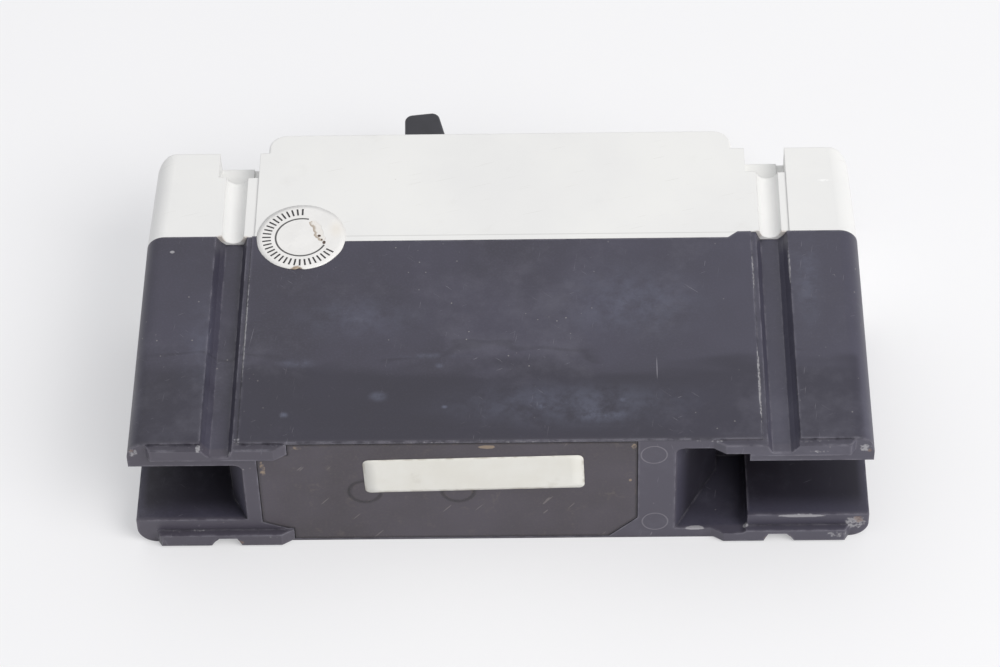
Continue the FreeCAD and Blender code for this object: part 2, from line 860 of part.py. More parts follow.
def cover_hollows(cover):
    middle = rectangle(
        ("-raised_left + side_wall", "raised_right - side_wall"), (f"-{ROOM_HALF}", ROOM_HALF))
    pocket(cover, "middle_room", "XZ", "parting_depth - parting_step", ROOF, middle)
    ear_half = f"({HALF_WIDTH} - pocket_height - side_wall)"
    ears = [
        rectangle((f"-{HALF_LENGTH} + end_wall", "-raised_left - side_wall"), (f"-{ear_half}", ear_half)),
        rectangle(("raised_right + side_wall", f"{HALF_LENGTH} - end_wall"), (f"-{ear_half}", ear_half)),
    ]
    pocket(cover, "ear_rooms", "XZ", "parting_depth", "ear_depth - front_wall", *ears)


def cover_openings(cover):
    reach = "(front_depth - handle_pivot_y)"
    blade_half = f"(handle_root - (handle_root - handle_tip) * {reach} / handle_reach)"
    slot_half = f"({reach} * tan(handle_swing) + {blade_half} / cos(handle_swing) + handle_gap)"
    slot_side = "(handle_width / 2 + handle_gap)"
    slot = rectangle(
        (f"handle_pivot_x - {slot_half}", f"handle_pivot_x + {slot_half}"), (f"-{slot_side}", slot_side))
    button_half = "(button_length / 2 + button_gap)"
    button_side = "(button_width / 2 + button_gap)"
    button = rectangle(
        (f"button_place - {button_half}", f"button_place + {button_half}"), (f"-{button_side}", button_side))
    pocket(cover, "front_slots", "XZ", ROOF, "front_depth", slot, button)
    access = [Circle(f"{end} * {LUG_CENTRE}", "0", "access_radius") for end in (-1, 1)]
    pocket(cover, "screw_access", "XZ", "ear_depth - front_wall", "ear_depth", *access)
    heads = [Circle(x, z, "cover_screw_head + counterbore_gap") for x, z in COVER_SCREWS]
    pocket(cover, "counterbores", "XZ", "ear_depth - cover_screw_head_depth", "ear_depth", *heads)
    shanks = [Circle(x, z, "cover_screw_radius + counterbore_gap") for x, z in COVER_SCREWS]
    pocket(cover, "screw_holes", "XZ", "parting_depth", "ear_depth - cover_screw_head_depth", *shanks)


def back_plate():
    plate = doc.addObject("PartDesign::Body", "back_plate")
    pad(plate, "plate_sheet", "XZ", "0", "plate_thickness", plate_outline("0"))
    head_seat = "plug_thickness + plate_screw_head_depth"
    seats = [Circle(x, "0", "plug_radius") for x in PLATE_SCREWS]
    pocket(plate, "plug_seats", "XZ", "0", head_seat, *seats)
    holes = [Circle(x, "0", "plate_screw_radius + counterbore_gap") for x in PLATE_SCREWS]
    pocket(plate, "plate_holes", "XZ", head_seat, "plate_thickness", *holes)
    return keep(plate)


def plate_fixings():
    plugs = []
    screws = []
    for index, x in enumerate(PLATE_SCREWS):
        plugs.append(rod(f"plug_{index}", "y", (x, "0", "0"), "plug_thickness", "plug_radius"))
        head = rod(f"plate_head_{index}", "y", (x, "plug_thickness", "0"), "plate_screw_head_depth",
                   "plate_screw_head")
        shank_length = f"{FLOOR} + frame_base - plug_thickness"
        shank = rod(f"plate_shank_{index}", "y", (x, "plug_thickness", "0"), shank_length,
                    "plate_screw_radius")
        screws.append(fuse(f"plate_screw_{index}", head, shank))
    keep(group("plate_plugs", plugs))
    keep(group("plate_screws", screws))


def cover_screws():
    screws = []
    for index, (x, z) in enumerate(COVER_SCREWS):
        seat = "ear_depth - cover_screw_head_depth"
        head = rod(f"cover_head_{index}", "y", (x, seat, z), "cover_screw_head_depth", "cover_screw_head")
        shank = rod(f"cover_shank_{index}", "y", (x, f"{seat} - cover_screw_length", z),
                    "cover_screw_length + cover_screw_head_depth / 2", "cover_screw_radius")
        slot = block(f"cover_slot_{index}", (f"{x} - cover_screw_head", f"{x} + cover_screw_head"),
                     ("ear_depth - driver_slot_depth", "ear_depth"),
                     (f"{z} - driver_slot_width / 2", f"{z} + driver_slot_width / 2"))
        screws.append(cut(f"cover_screw_{index}", fuse(f"cover_screw_blank_{index}", head, shank), slot))
    keep(group("cover_screws", screws))


def strap_span(end):
    """The strap's span along X at one end of the case."""
    outer = f"{end} * ({LUG_CENTRE} + lug_length / 2 - strap_setback)"
    if end < 0:
        return outer, "-arc_right + contact_radius * 2"
    return "bimetal_place", outer


def terminal(end, prefix):
    centre = f"{end} * {LUG_CENTRE}"
    half = ("-strap_width / 2", "strap_width / 2")
    bar = block(f"{prefix}_bar", strap_span(end), ("strap_level", STRAP_TOP), half)
    hole = rod(f"{prefix}_bar_hole", "y", (centre, "strap_level", "0"), "strap_thickness",
               "lug_screw_radius + strap_hole_gap")
    keep(cut(f"{prefix}_strap", bar, hole))
    span = (f"{centre} - lug_length / 2", f"{centre} + lug_length / 2")
    lug = block(f"{prefix}_lug_block", span, ("strap_level - lug_height", "strap_level"),
                ("-lug_width / 2", "lug_width / 2"))
    wire = rod(f"{prefix}_wire_bore", "x", (span[0], "wire_level", "0"), "lug_length", "wire_radius")
    thread = rod(f"{prefix}_thread", "y", (centre, "wire_level", "0"), "strap_level - wire_level",
                 "lug_screw_radius + lug_screw_gap")
    keep(cut(f"{prefix}_lug", lug, wire, thread))
    start = "wire_level + wire_radius + lug_screw_rest"
    screw = rod(f"{prefix}_screw_rod", "y", (centre, start, "0"), "lug_screw_length", "lug_screw_radius")
    socket = doc.addObject("Part::Prism", f"{prefix}_hex")
    socket.Polygon = 6
    socket.Placement = FreeCAD.Placement(Vector(), TURNS["y"])
    bind(socket, "Circumradius", "hex_socket / sqrt(3)")
    bind(socket, "Height", "hex_depth")
    place(socket, centre, f"{start} + lug_screw_length - hex_depth", "0")
    keep(cut(f"{prefix}_lug_screw", screw, socket))


def neutral_terminal():
    plate = doc.addObject("PartDesign::Body", "neutral_plate")
    right = f"{NEUTRAL_SCREW} + neutral_plate_reach"
    outline = [
        ("neutral_plate_left", "neutral_depth"),
        (right, "neutral_depth"),
        (right, "neutral_depth + neutral_plate_thickness"),
        ("neutral_plate_left + neutral_plate_thickness", "neutral_depth + neutral_plate_thickness"),
        ("neutral_plate_left + neutral_plate_thickness", "neutral_plate_top"),
        ("neutral_plate_left", "neutral_plate_top"),
    ]
    half = "neutral_plate_width / 2"
    pad(plate, "neutral_bend", "XY", f"-({half})", half, outline)
    hole = Circle(NEUTRAL_SCREW, "0", "neutral_screw_radius")
    pocket(plate, "neutral_hole", "XZ", "neutral_depth", "neutral_depth + neutral_plate_thickness", hole)
    keep(plate)
    seat = "neutral_depth - neutral_screw_head_depth"
    start = (NEUTRAL_SCREW, seat, "0")
    head = rod("neutral_head", "y", start, "neutral_screw_head_depth", "neutral_screw_head")
    shank = rod("neutral_shank", "y", start, "neutral_screw_head_depth + neutral_screw_length",
                "neutral_screw_radius")
    slot = block("neutral_head_slot",
                 (f"{NEUTRAL_SCREW} - neutral_screw_head", f"{NEUTRAL_SCREW} + neutral_screw_head"),
                 (seat, f"{seat} + neutral_slot_depth"),
                 ("-neutral_slot_width / 2", "neutral_slot_width / 2"))
    keep(cut("neutral_screw", fuse("neutral_screw_blank", head, shank), slot))


def contacts():
    fixed = rod("fixed_contact", "y", ("arm_pivot_x - contact_place", STRAP_TOP, "0"),
                "fixed_contact_height", "contact_radius")
    keep(fixed)
    tip_height = f"arm_pivot_y - arm_thickness / 2 - {STRAP_TOP} - fixed_contact_height - contact_gap"
    start = ("-contact_place", f"-arm_thickness / 2 - ({tip_height})", "0")
    moving = rod("moving_tip", "y", start, tip_height, "contact_radius")
    turned = doc.addObject("Part::Compound", "moving_contact")
    turned.Links = [moving]
    bind(turned, "Placement.Rotation.Angle", "-arm_open")
    place(turned, "arm_pivot_x", "arm_pivot_y", "0")
    keep(turned)


def contact_arm():
    arm = doc.addObject("PartDesign::Body", "contact_arm")
    blade = rectangle(("-arm_length", "arm_tail"), ("-arm_thickness / 2", "arm_thickness / 2"))
    pad(arm, "arm_blade", "XY", "-arm_width / 2", "arm_width / 2", blade)
    pad(arm, "arm_hub", "XY", "-arm_hub_width / 2", "arm_hub_width / 2", Circle("0", "0", "arm_hub_radius"))
    pocket(arm, "arm_bore", "XY", "-arm_hub_width / 2", "arm_hub_width / 2",
           Circle("0", "0", "pin_radius + pin_gap"))
    bind(arm, "Placement.Rotation.Angle", "-arm_open")
    place(arm, "arm_pivot_x", "arm_pivot_y", "0")
    keep(arm)


def mechanism_pins():
    half = "frame_width / 2"
    for name, x, y, radius in (
            ("handle_pin", "handle_pivot_x", "handle_pivot_y", "pin_radius"),
            ("arm_pin", "arm_pivot_x", "arm_pivot_y", "pin_radius"),
            ("armature_pin", "armature_pivot_x", "armature_pivot_y", "armature_pin_radius")):
        keep(rod(name, "z", (x, y, f"-{half}"), "frame_width", radius))
    start = "lever_side - plate_gap"
    keep(rod("lever_pin", "z", ("lever_pivot_x", "lever_pivot_y", start), f"{half} - ({start})",
             "lever_pin_radius"))


def mechanism_frame():
    frame = doc.addObject("PartDesign::Body", "mechanism_frame")
    half = "frame_width / 2"
    base_right = "handle_pivot_x + hub_radius * 2"
    floor = rectangle(("-frame_left", base_right), (FLOOR, f"{FLOOR} + frame_base"))
    pad(frame, "frame_floor", "XY", f"-{half}", half, floor)
    side = [
        ("-frame_left", FLOOR),
        ("frame_right", FLOOR),
        ("frame_right", "armature_pivot_y - armature_hub_radius * 2"),
        ("armature_pivot_x + frame_lug", "armature_pivot_y - armature_hub_radius * 2"),
        ("armature_pivot_x + frame_lug", "armature_pivot_y + armature_hub_radius * 2"),
        ("frame_right", "armature_pivot_y + armature_hub_radius * 3"),
        ("handle_pivot_x + hub_radius", "frame_front"),
        ("handle_pivot_x - hub_radius", "frame_front"),
        ("-frame_left", "lever_pivot_y"),
    ]
    for index, (low, high) in enumerate(mirrored(f"{half} - frame_plate", half)):
        pad(frame, f"frame_side_{index}", "XY", low, high, side)
    pins = [
        Circle("handle_pivot_x", "handle_pivot_y", "pin_radius"),
        Circle("arm_pivot_x", "arm_pivot_y", "pin_radius"),
        Circle("armature_pivot_x", "armature_pivot_y", "armature_pin_radius"),
    ]
    pocket(frame, "frame_pin_holes", "XY", f"-{half}", half, *pins)
    lever = Circle("lever_pivot_x", "lever_pivot_y", "lever_pin_radius")
    pocket(frame, "frame_lever_hole", "XY", f"{half} - frame_plate", half, lever)
    screws = [Circle(x, "0", "plate_screw_radius") for x in PLATE_SCREWS]
    pocket(frame, "frame_screw_holes", "XZ", FLOOR, f"{FLOOR} + frame_base", *screws)
    keep(frame)


def toggle_handle():
    handle = doc.addObject("PartDesign::Body", "toggle_handle")
    blade = [
        ("-handle_root", "0"),
        ("handle_root", "0"),
        ("handle_tip", "handle_reach"),
        ("-handle_tip", "handle_reach"),
    ]
    pad(handle, "handle_blade", "XY", "-handle_width / 2", "handle_width / 2", blade)
    tip = number("handle_reach") - ON_FACE
    round_edges(handle, "tip_corners", "tip_radius",
                lambda edge: runs_along(edge, ALONG_Z) and edge.CenterOfMass.y > tip)
    side = number("handle_width / 2") - ON_FACE
    round_edges(handle, "blade_edges", "tip_edge",
                lambda edge: abs(edge.CenterOfMass.z) > side and edge.CenterOfMass.y > ON_FACE)
    pad(handle, "handle_hub", "XY", "-hub_width / 2", "hub_width / 2", Circle("0", "0", "hub_radius"))
    skirt_outer = f"({ROOF} - skirt_gap - handle_pivot_y)"
    ring = rectangle(
        (f"{skirt_outer} - skirt_thickness", skirt_outer), ("-skirt_width / 2", "skirt_width / 2"))
    skirt_sketch = draw(handle, "skirt_sketch", "YZ", "0", [ring])
    skirt = handle.newObject("PartDesign::Revolution", "handle_skirt")
    skirt.Profile = skirt_sketch
    skirt.ReferenceAxis = (skirt_sketch, ["V_Axis"])
    skirt.Midplane = True
    bind(skirt, "Angle", "skirt_angle")
    pocket(handle, "handle_bore", "XY", "-hub_width / 2", "hub_width / 2",
           Circle("0", "0", "pin_radius + pin_gap"))
    bind(handle, "Placement.Rotation.Angle", "handle_lean")
    place(handle, "handle_pivot_x", "handle_pivot_y", "0")
    keep(handle)


def handle_arm():
    """A steel arm on the handle's -Z side, whose foot holds the main spring."""
    yoke = doc.addObject("PartDesign::Body", "handle_arm")
    outside = "-hub_width / 2 - yoke_plate"
    inside = "-hub_width / 2"
    foot = rectangle(("-yoke_half", "yoke_half"), ("-yoke_drop", "-yoke_drop + yoke_plate"))
    pad(yoke, "yoke_foot", "XY", outside, "lever_side - yoke_gap", foot)
    side = rectangle(("-yoke_half", "yoke_half"), ("-yoke_drop", "yoke_half"))
    pad(yoke, "yoke_side", "XY", outside, inside, side)
    pocket(yoke, "yoke_bore", "XY", outside, inside, Circle("0", "0", "pin_radius + pin_gap"))
    bind(yoke, "Placement.Rotation.Angle", "handle_lean")
    place(yoke, "handle_pivot_x", "handle_pivot_y", "0")
    keep(yoke)


def trip_lever():
    lever = doc.addObject("PartDesign::Body", "trip_lever")
    outline = [
        ("0", "-lever_hub_radius / 2"),
        ("lever_length", "-lever_nose"),
        ("lever_length + lever_nose", "-lever_nose"),
        ("lever_length + lever_nose", "0"),
        ("lever_length", "lever_nose"),
        ("0", "lever_hub_radius / 2"),
    ]
    top = "lever_side + lever_thickness"
    pad(lever, "lever_plate", "XY", "lever_side", top, outline)
    pad(lever, "lever_hub", "XY", "lever_side", top, Circle("0", "0", "lever_hub_radius"))
    pocket(lever, "lever_bore", "XY", "lever_side", top, Circle("0", "0", "lever_pin_radius + pin_gap"))
    bind(lever, "Placement.Rotation.Angle", "-lever_droop")
    place(lever, "lever_pivot_x", "lever_pivot_y", "0")
    keep(lever)


def armature():
    plate = doc.addObject("PartDesign::Body", "armature")
    half = "armature_width / 2"
    blade = rectangle(
        ("-armature_thickness / 2", "armature_thickness / 2"), ("-armature_hub_radius", "armature_height"))
    pad(plate, "armature_blade", "XY", f"-{half}", half, blade)
    pole_half = "(magnet_width / 2 - plate_gap)"
    poles = rectangle(
        ("-armature_thickness / 2", "armature_thickness / 2"),
        ("magnet_low - armature_pivot_y", "magnet_high - armature_pivot_y"))
    pad(plate, "armature_poles", "XY", f"-{pole_half}", pole_half, poles)
    hub_half = "armature_hub_width / 2"
    pad(plate, "armature_hub", "XY", f"-{hub_half}", hub_half, Circle("0", "0", "armature_hub_radius"))
    pocket(plate, "armature_bore", "XY", f"-{hub_half}", hub_half,
           Circle("0", "0", "armature_pin_radius + pin_gap"))
    window = rectangle(
        ("window_low", "window_high"),
        ("lever_side - window_gap", "lever_side + lever_thickness + window_gap"))
    stem = Circle("solenoid_level - armature_pivot_y", "0", "stem_radius + stem_hole_gap")
    pocket(plate, "armature_windows", "YZ", "-armature_thickness", "armature_thickness", window, stem)
    place(plate, "armature_pivot_x", "armature_pivot_y", "0")
    keep(plate)


def trip_unit():
    keep(block("bimetal", ("bimetal_place", "bimetal_place + bimetal_thickness"), (STRAP_TOP, "bimetal_top"),
               ("-bimetal_width / 2", "bimetal_width / 2")))
    half = "magnet_width / 2"
    parts = [block("magnet_back", ("magnet_place", MAGNET_BACK), (STRAP_TOP, "magnet_high"),
                   (f"-{half}", half))]
    for index, span in enumerate(mirrored(f"{half} - magnet_side", half)):
        parts.append(block(f"magnet_arm_{index}", ("magnet_place - magnet_reach", "magnet_place"),
                           ("magnet_low", "magnet_high"), span))
    screw_start = ("bimetal_place + bimetal_thickness", "calibration_level", "0")
    hole = rod("calibration_hole", "x", screw_start, "calibration_length", "calibration_radius")
    keep(cut("magnet_yoke", fuse("magnet_blank", *parts), hole))
    keep(rod("calibration_screw", "x", screw_start, "calibration_length", "calibration_radius"))


def bent_path(points, radius):
    """Straight runs joined by tangent arcs of one radius."""
    edges = []
    start = points[0]
    for before, corner, after in zip(points, points[1:], points[2:]):
        arriving = (corner - before).normalize()
        leaving = (after - corner).normalize()
        half_turn = arriving.getAngle(leaving) / 2
        setback = radius * math.tan(half_turn)
        first = corner - arriving * setback
        last = corner + leaving * setback
        bisector = (leaving - arriving).normalize()
        centre = corner + bisector * (setback ** 2 + radius ** 2) ** 0.5
        middle = centre - bisector * radius
        edges.append(Part.LineSegment(start, first).toShape())
        edges.append(Part.Arc(first, middle, last).toShape())
        start = last
    edges.append(Part.LineSegment(start, points[-1]).toShape())
    return Part.Wire(edges)


def wire_piece(name, routes, radius, bend):
    """Round wires along bent routes, whose points are formulas."""
    solids = []
    for route in routes:
        points = [Vector(*[number(formula) for formula in point]) for point in route]
        path = bent_path(points, number(bend))
        section = Part.Wire(Part.Circle(points[0], points[1] - points[0], number(radius)).toShape())
        solids.append(path.makePipeShell([section], True, False))
    wires = doc.addObject("Part::Feature", name)
    wires.Shape = solids[0] if len(solids) == 1 else Part.makeCompound(solids)
    keep(wires)


def flexible_braid():
    side = "-braid_side"
    start_side = "-arm_width / 4"
    start_y = "arm_pivot_y - braid_start_drop"
    top = "bimetal_top - braid_bend"
    end_x = "bimetal_place + bimetal_thickness / 2"
    route = [
        ("arm_pivot_x + arm_tail + plate_gap", start_y, start_side),
        ("braid_rise", start_y, start_side),
        ("braid_rise", start_y, side),
        ("braid_rise", top, side),
        (end_x, top, side),
        (end_x, top, "-bimetal_width / 2"),
    ]
    wire_piece("flexible_braid", [route], "braid_radius", "braid_bend")


def coil_spring(name, start, angle, length, radius, wire, turns):
    """A helix that starts at a point and runs along X turned by an angle about Z."""
    spine = doc.addObject("Part::Helix", name + "_spine")
    spine.Placement = FreeCAD.Placement(Vector(), TURNS["x"])
    bind(spine, "Height", length)
    bind(spine, "Pitch", f"({length}) / {turns}")
    bind(spine, "Radius", radius)
    spine.SegmentLength = 1
    section = doc.addObject("Part::Circle", name + "_section")
    bind(section, "Radius", wire)
    section.Placement = FreeCAD.Placement(Vector(), FreeCAD.Rotation(ALONG_X, 90))
    bind(section, "Placement.Base.z", f"-({radius})")
    spring = doc.addObject("Part::Sweep", name)
    spring.Sections = [section]
    spring.Spine = (spine, [])
    spring.Solid = True
    spring.Frenet = True
    bind(spring, "Placement.Rotation.Angle", angle)
    place(spring, *start)
    keep(spring)


def springs():
    bar_x = "(handle_pivot_x + yoke_drop * sin(handle_lean))"
    bar_y = "(handle_pivot_y - yoke_drop * cos(handle_lean))"
    clear = "(main_spring_radius + main_spring_wire)"
    start_y = f"({bar_y} - {clear} - plate_gap)"
    run = f"(arm_pivot_x - arm_hub_radius - {clear} - {bar_x})"
    fall = f"({start_y} - arm_pivot_y - arm_hub_radius - {clear})"
    coil_spring("main_spring", (bar_x, start_y, "0"), f"-atan({fall} / {run})",
                f"sqrt({run}^2 + {fall}^2)", "main_spring_radius", "main_spring_wire",
                "main_spring_turns")
    collar_end = "collar_place + collar_thickness + plunger_spring_wire"
    coil_spring("plunger_spring", (collar_end, "solenoid_level", "0"), "0",
                f"solenoid_left - plunger_spring_wire - ({collar_end})", "plunger_spring_radius",
                "plunger_spring_wire", "plunger_spring_turns")
    bracket_top = "(bracket_level + bracket_thickness + test_spring_wire)"
    flange_low = f"({ROOF} - button_flange_gap - button_flange_depth - test_spring_wire)"
    coil_spring("test_spring", ("button_place", bracket_top, "0"), "90",
                f"{flange_low} - {bracket_top}", "test_spring_radius", "test_spring_wire",
                "test_spring_turns")


def arc_chute():
    plates = []
    for index in range(round(number("arc_count"))):
        level = f"arc_level + {index} * arc_pitch"
        span = (level, f"{level} + arc_plate")
        sheet_metal = block(f"arc_sheet_{index}", ("-arc_left", "-arc_right"), span,
                            (f"-{ARC_HALF}", ARC_HALF))
        notch = block(f"arc_notch_{index}", ("-arc_right - arc_notch", "-arc_right"), span,
                      ("-arc_notch_width / 2", "arc_notch_width / 2"))
        plates.append(cut(f"arc_plate_{index}", sheet_metal, notch))
    keep(group("arc_plates", plates))
    boards = []
    for index, span in enumerate(mirrored(ARC_HALF, f"{ARC_HALF} + board_thickness")):
        boards.append(block(f"arc_board_{index}", ("-arc_left", "-board_right"), ("board_low", "board_high"),
                            span))
    keep(group("arc_side_boards", boards))


def sense_transformer():
    left = "sensor_place - core_width / 2"
    centre = (left, STRAP_MIDDLE, "0")
    outer = rod("core_disc", "x", centre, "core_width", "core_outer")
    inner = rod("core_window", "x", centre, "core_width", "core_inner")
    keep(cut("sense_core", outer, inner))
    count = round(number("loop_count"))
    loops = []
    width = ("-loop_width / 2", "loop_width / 2")
    for index in range(count):
        wide = block(f"loop_outside_{index}",
                     ("-core_width / 2 - loop_gap - loop_wire", "core_width / 2 + loop_gap + loop_wire"),
                     ("core_inner - loop_gap - loop_wire", "core_outer + loop_gap + loop_wire"), width)
        slim = block(f"loop_inside_{index}",
                     ("-core_width / 2 - loop_gap", "core_width / 2 + loop_gap"),
                     ("core_inner - loop_gap", "core_outer + loop_gap"), width)
        loop = cut(f"loop_{index}", wide, slim)
        loop.Placement = FreeCAD.Placement(Vector(), FreeCAD.Rotation(ALONG_X, (index + 0.5) * 360 / count))
        place(loop, "sensor_place", STRAP_MIDDLE, "0")
        loops.append(loop)
    keep(group("sense_winding", loops))


def sensor_leads():
    level = f"{STRAP_MIDDLE} - lead_drop"
    start = "sensor_place - core_width / 2 - loop_gap - loop_wire"
    board_top = "board_level + circuit_thickness"
    routes = []
    for side in (-1, 1):
        z = f"{side} * lead_side"
        routes.append([(start, level, z), ("lead_place", level, z), ("lead_place", board_top, z)])
    wire_piece("sense_leads", routes, "lead_radius", "lead_bend")
    level = f"{STRAP_MIDDLE} - neutral_drop"
    route = [
        ("neutral_plate_left", level, "0"),
        ("neutral_place", level, "0"),
        ("neutral_place", board_top, "0"),
    ]
    wire_piece("neutral_lead", [route], "neutral_radius", "neutral_bend")


def solenoid():
    half = f"({ROOM_HALF} - solenoid_fit)"
    top = "solenoid_level + flange_radius + plate_gap + solenoid_plate"
    near = block("solenoid_near", ("solenoid_left", "solenoid_left + solenoid_plate"),
                 ("solenoid_low", top), (f"-{half}", half))
    far = block("solenoid_far", ("solenoid_right - solenoid_plate", "solenoid_right"),
                ("solenoid_low", top), (f"-{half}", half))
    bridge = block("solenoid_bridge", ("solenoid_left", "solenoid_right"),
                   (f"{top} - solenoid_plate", top), ("-bridge_width / 2", "bridge_width / 2"))
    start = ("solenoid_left", "solenoid_level", "0")
    hole = rod("stem_hole", "x", start, "solenoid_plate", "stem_radius + plate_gap")
    keep(cut("solenoid_frame", fuse("solenoid_blank", near, far, bridge), hole))
    left = "(solenoid_left + solenoid_plate + bobbin_gap)"
    right = "(solenoid_right - solenoid_plate - bobbin_gap)"
    axis = ("solenoid_level", "0")
    tube = rod("bobbin_tube", "x", (left, *axis), f"{right} - {left}", "bobbin_radius")
    near_flange = rod("near_flange", "x", (left, *axis), "flange_thickness", "flange_radius")
    far_flange = rod("far_flange", "x", (f"{right} - flange_thickness", *axis), "flange_thickness",
                     "flange_radius")
    bore = rod("bobbin_hole", "x", (left, *axis), f"{right} - {left}", "bobbin_bore")
    keep(cut("solenoid_bobbin", fuse("bobbin_blank", tube, near_flange, far_flange), bore))
    coil_start = (f"{left} + flange_thickness", *axis)
    coil_length = f"{right} - {left} - 2 * flange_thickness"
    winding = rod("coil_disc", "x", coil_start, coil_length, "coil_radius")
    window = rod("coil_window", "x", coil_start, coil_length, "bobbin_radius")
    keep(cut("solenoid_coil", winding, window))


def plunger():
    axis = ("solenoid_level", "0")
    core_left = "(solenoid_left + solenoid_plate + bobbin_gap * 2)"
    core = rod("plunger_core", "x", (core_left, *axis), "plunger_length", "plunger_radius")
    stem = rod("plunger_stem", "x", ("stem_left", *axis), f"{core_left} - stem_left", "stem_radius")
    head = rod("plunger_head", "x", ("stem_left", *axis), "head_thickness", "head_radius")
    collar = rod("plunger_collar", "x", ("collar_place", *axis), "collar_thickness", "collar_radius")
    keep(fuse("plunger", core, stem, head, collar))


def test_button():
    button = doc.addObject("PartDesign::Body", "test_button")
    top = "front_depth - button_sink"
    flange_top = f"({ROOF} - button_flange_gap)"
    flange_low = f"({flange_top} - button_flange_depth)"
    half = ("button_length / 2", "button_width / 2")
    head = rectangle((f"button_place - {half[0]}", f"button_place + {half[0]}"), (f"-{half[1]}", half[1]))
    pad(button, "button_head", "XZ", flange_low, top, head)
    front = number(top) - ON_FACE
    round_edges(button, "button_edges", "button_edge", lambda edge: edge.BoundBox.YMin > front)
    wide = (f"{half[0]} + button_flange", f"{half[1]} + button_flange")
    flange = rectangle(
        (f"button_place - ({wide[0]})", f"button_place + {wide[0]}"), (f"-({wide[1]})", wide[1]))
    pad(button, "button_skirt", "XZ", flange_low, flange_top, flange)
    stem = Circle("button_place", "0", "button_stem_radius")
    pad(button, "button_stem", "XZ", f"{flange_low} - button_stem_length", flange_low, stem)
    keep(button)


def test_contact():
    half = f"({ROOM_HALF} - bracket_fit)"
    shelf = block("bracket_shelf", ("bracket_left", "bracket_right"),
                  ("bracket_level", "bracket_level + bracket_thickness"), (f"-{half}", half))
    hole = rod("bracket_hole", "y", ("button_place", "bracket_level", "0"), "bracket_thickness",
               "button_stem_radius + button_gap")
    keep(cut("test_bracket", shelf, hole))
    blade = doc.addObject("PartDesign::Body", "test_blade")
    leaf_top = "blade_level + blade_thickness"
    outline = [
        ("bracket_left + blade_thickness", "blade_level"),
        ("blade_right", "blade_level"),
        ("blade_right", leaf_top),
        ("bracket_left + 2 * blade_thickness", leaf_top),
        ("bracket_left + 2 * blade_thickness", "bracket_level"),
        ("bracket_left + blade_thickness", "bracket_level"),
    ]
    pad(blade, "blade_leaf", "XY", "-blade_width / 2", "blade_width / 2", outline)
    keep(blade)


def circuit_board():
    board = doc.addObject("PartDesign::Body", "circuit_board")
    sheet_outline = rectangle(
        ("-board_room_left + board_gap", "board_room_right - board_gap"), (f"-{BOARD_HALF}", BOARD_HALF))
    pad(board, "board_sheet", "XZ", "board_level", "board_level + circuit_thickness", sheet_outline)
    posts = [Circle(x, "0", "post_radius + post_gap") for x in PLATE_SCREWS]
    pocket(board, "board_posts", "XZ", "board_level", "board_level + circuit_thickness", *posts)
    keep(board)


def board_parts():
    edge = f"({BOARD_HALF} - part_margin)"
    cans = []
    for index, (x, side) in enumerate((("-plug_left - can_left", -1), ("-plug_right + can_right", 1))):
        start = (x, "board_level - can_height", f"{side} * ({edge} - can_radius)")
        cans.append(rod(f"can_{index}", "y", start, "can_height", "can_radius"))
    keep(group("board_capacitors", cans))
    resistors = []
    for index in range(round(number("resistor_count"))):
        start = ("-plug_left + resistor_place", "board_level - resistor_radius",
                 f"{edge} - resistor_radius - {index} * resistor_pitch")
        resistors.append(rod(f"resistor_{index}", "x", start, "resistor_length", "resistor_radius"))
    keep(group("board_resistors", resistors))
    keep(block("board_chip", ("-plug_left + chip_place", "-plug_left + chip_place + chip_length"),
               ("board_level - chip_height", "board_level"), (f"-{edge}", f"-{edge} + chip_width")))
    keep(rod("board_varistor", "x",
             ("board_room_right - varistor_inset", "board_level - varistor_radius",
              f"-{edge} + varistor_radius"),
             "varistor_thickness", "varistor_radius"))
    keep(rod("board_thyristor", "y",
             ("-plug_right + thyristor_place", "board_level - thyristor_height",
              f"-{edge} + thyristor_radius"),
             "thyristor_height", "thyristor_radius"))


def check_and_write():
    doc.recompute()
    for thing in doc.Objects:
        if {"Invalid", "Error"} & set(thing.State):
            raise RuntimeError(f"{thing.Name} failed: {thing.State}")
    for node in nodes:
        if node.Shape.isNull() or not node.Shape.isValid() or node.Shape.Volume <= 0:
            raise RuntimeError(f"{node.Label} has no valid shape")
    for node in nodes:
        node.Shape.exportStep(f"parts/{node.Label}.step")
        print(f"{node.Label}: {len(node.Shape.Solids)} solids, {node.Shape.Volume:.1f} mm3")


base_housing()
front_cover()
back_plate()
plate_fixings()
cover_screws()
terminal(-1, "line")
terminal(1, "load")
neutral_terminal()
contacts()
contact_arm()
mechanism_pins()
mechanism_frame()
toggle_handle()
handle_arm()
trip_lever()
armature()
trip_unit()
flexible_braid()
springs()
arc_chute()
sense_transformer()
sensor_leads()
solenoid()
plunger()
test_button()
test_contact()
circuit_board()
board_parts()
check_and_write()
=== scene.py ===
# %% [markdown]
# # A one-inch ground-fault breaker
#
# This lesson dresses a finished CAD model of a single-pole ground-fault circuit
# breaker. The breaker lies on one of its wide sides. Its length runs along X, its
# depth along Y, from the flat back to the toggle, and its one-inch width along Z.
#
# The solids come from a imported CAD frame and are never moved. Blender adds what a
# solid doesn't hold: the finish of each moulding and metal, the paper stickers, the
# print on them, the rows of small marks, the light and the camera.

# %% The CAD frame
import json
import math

import bmesh
import bpy
from mathutils import Euler, Matrix, Vector


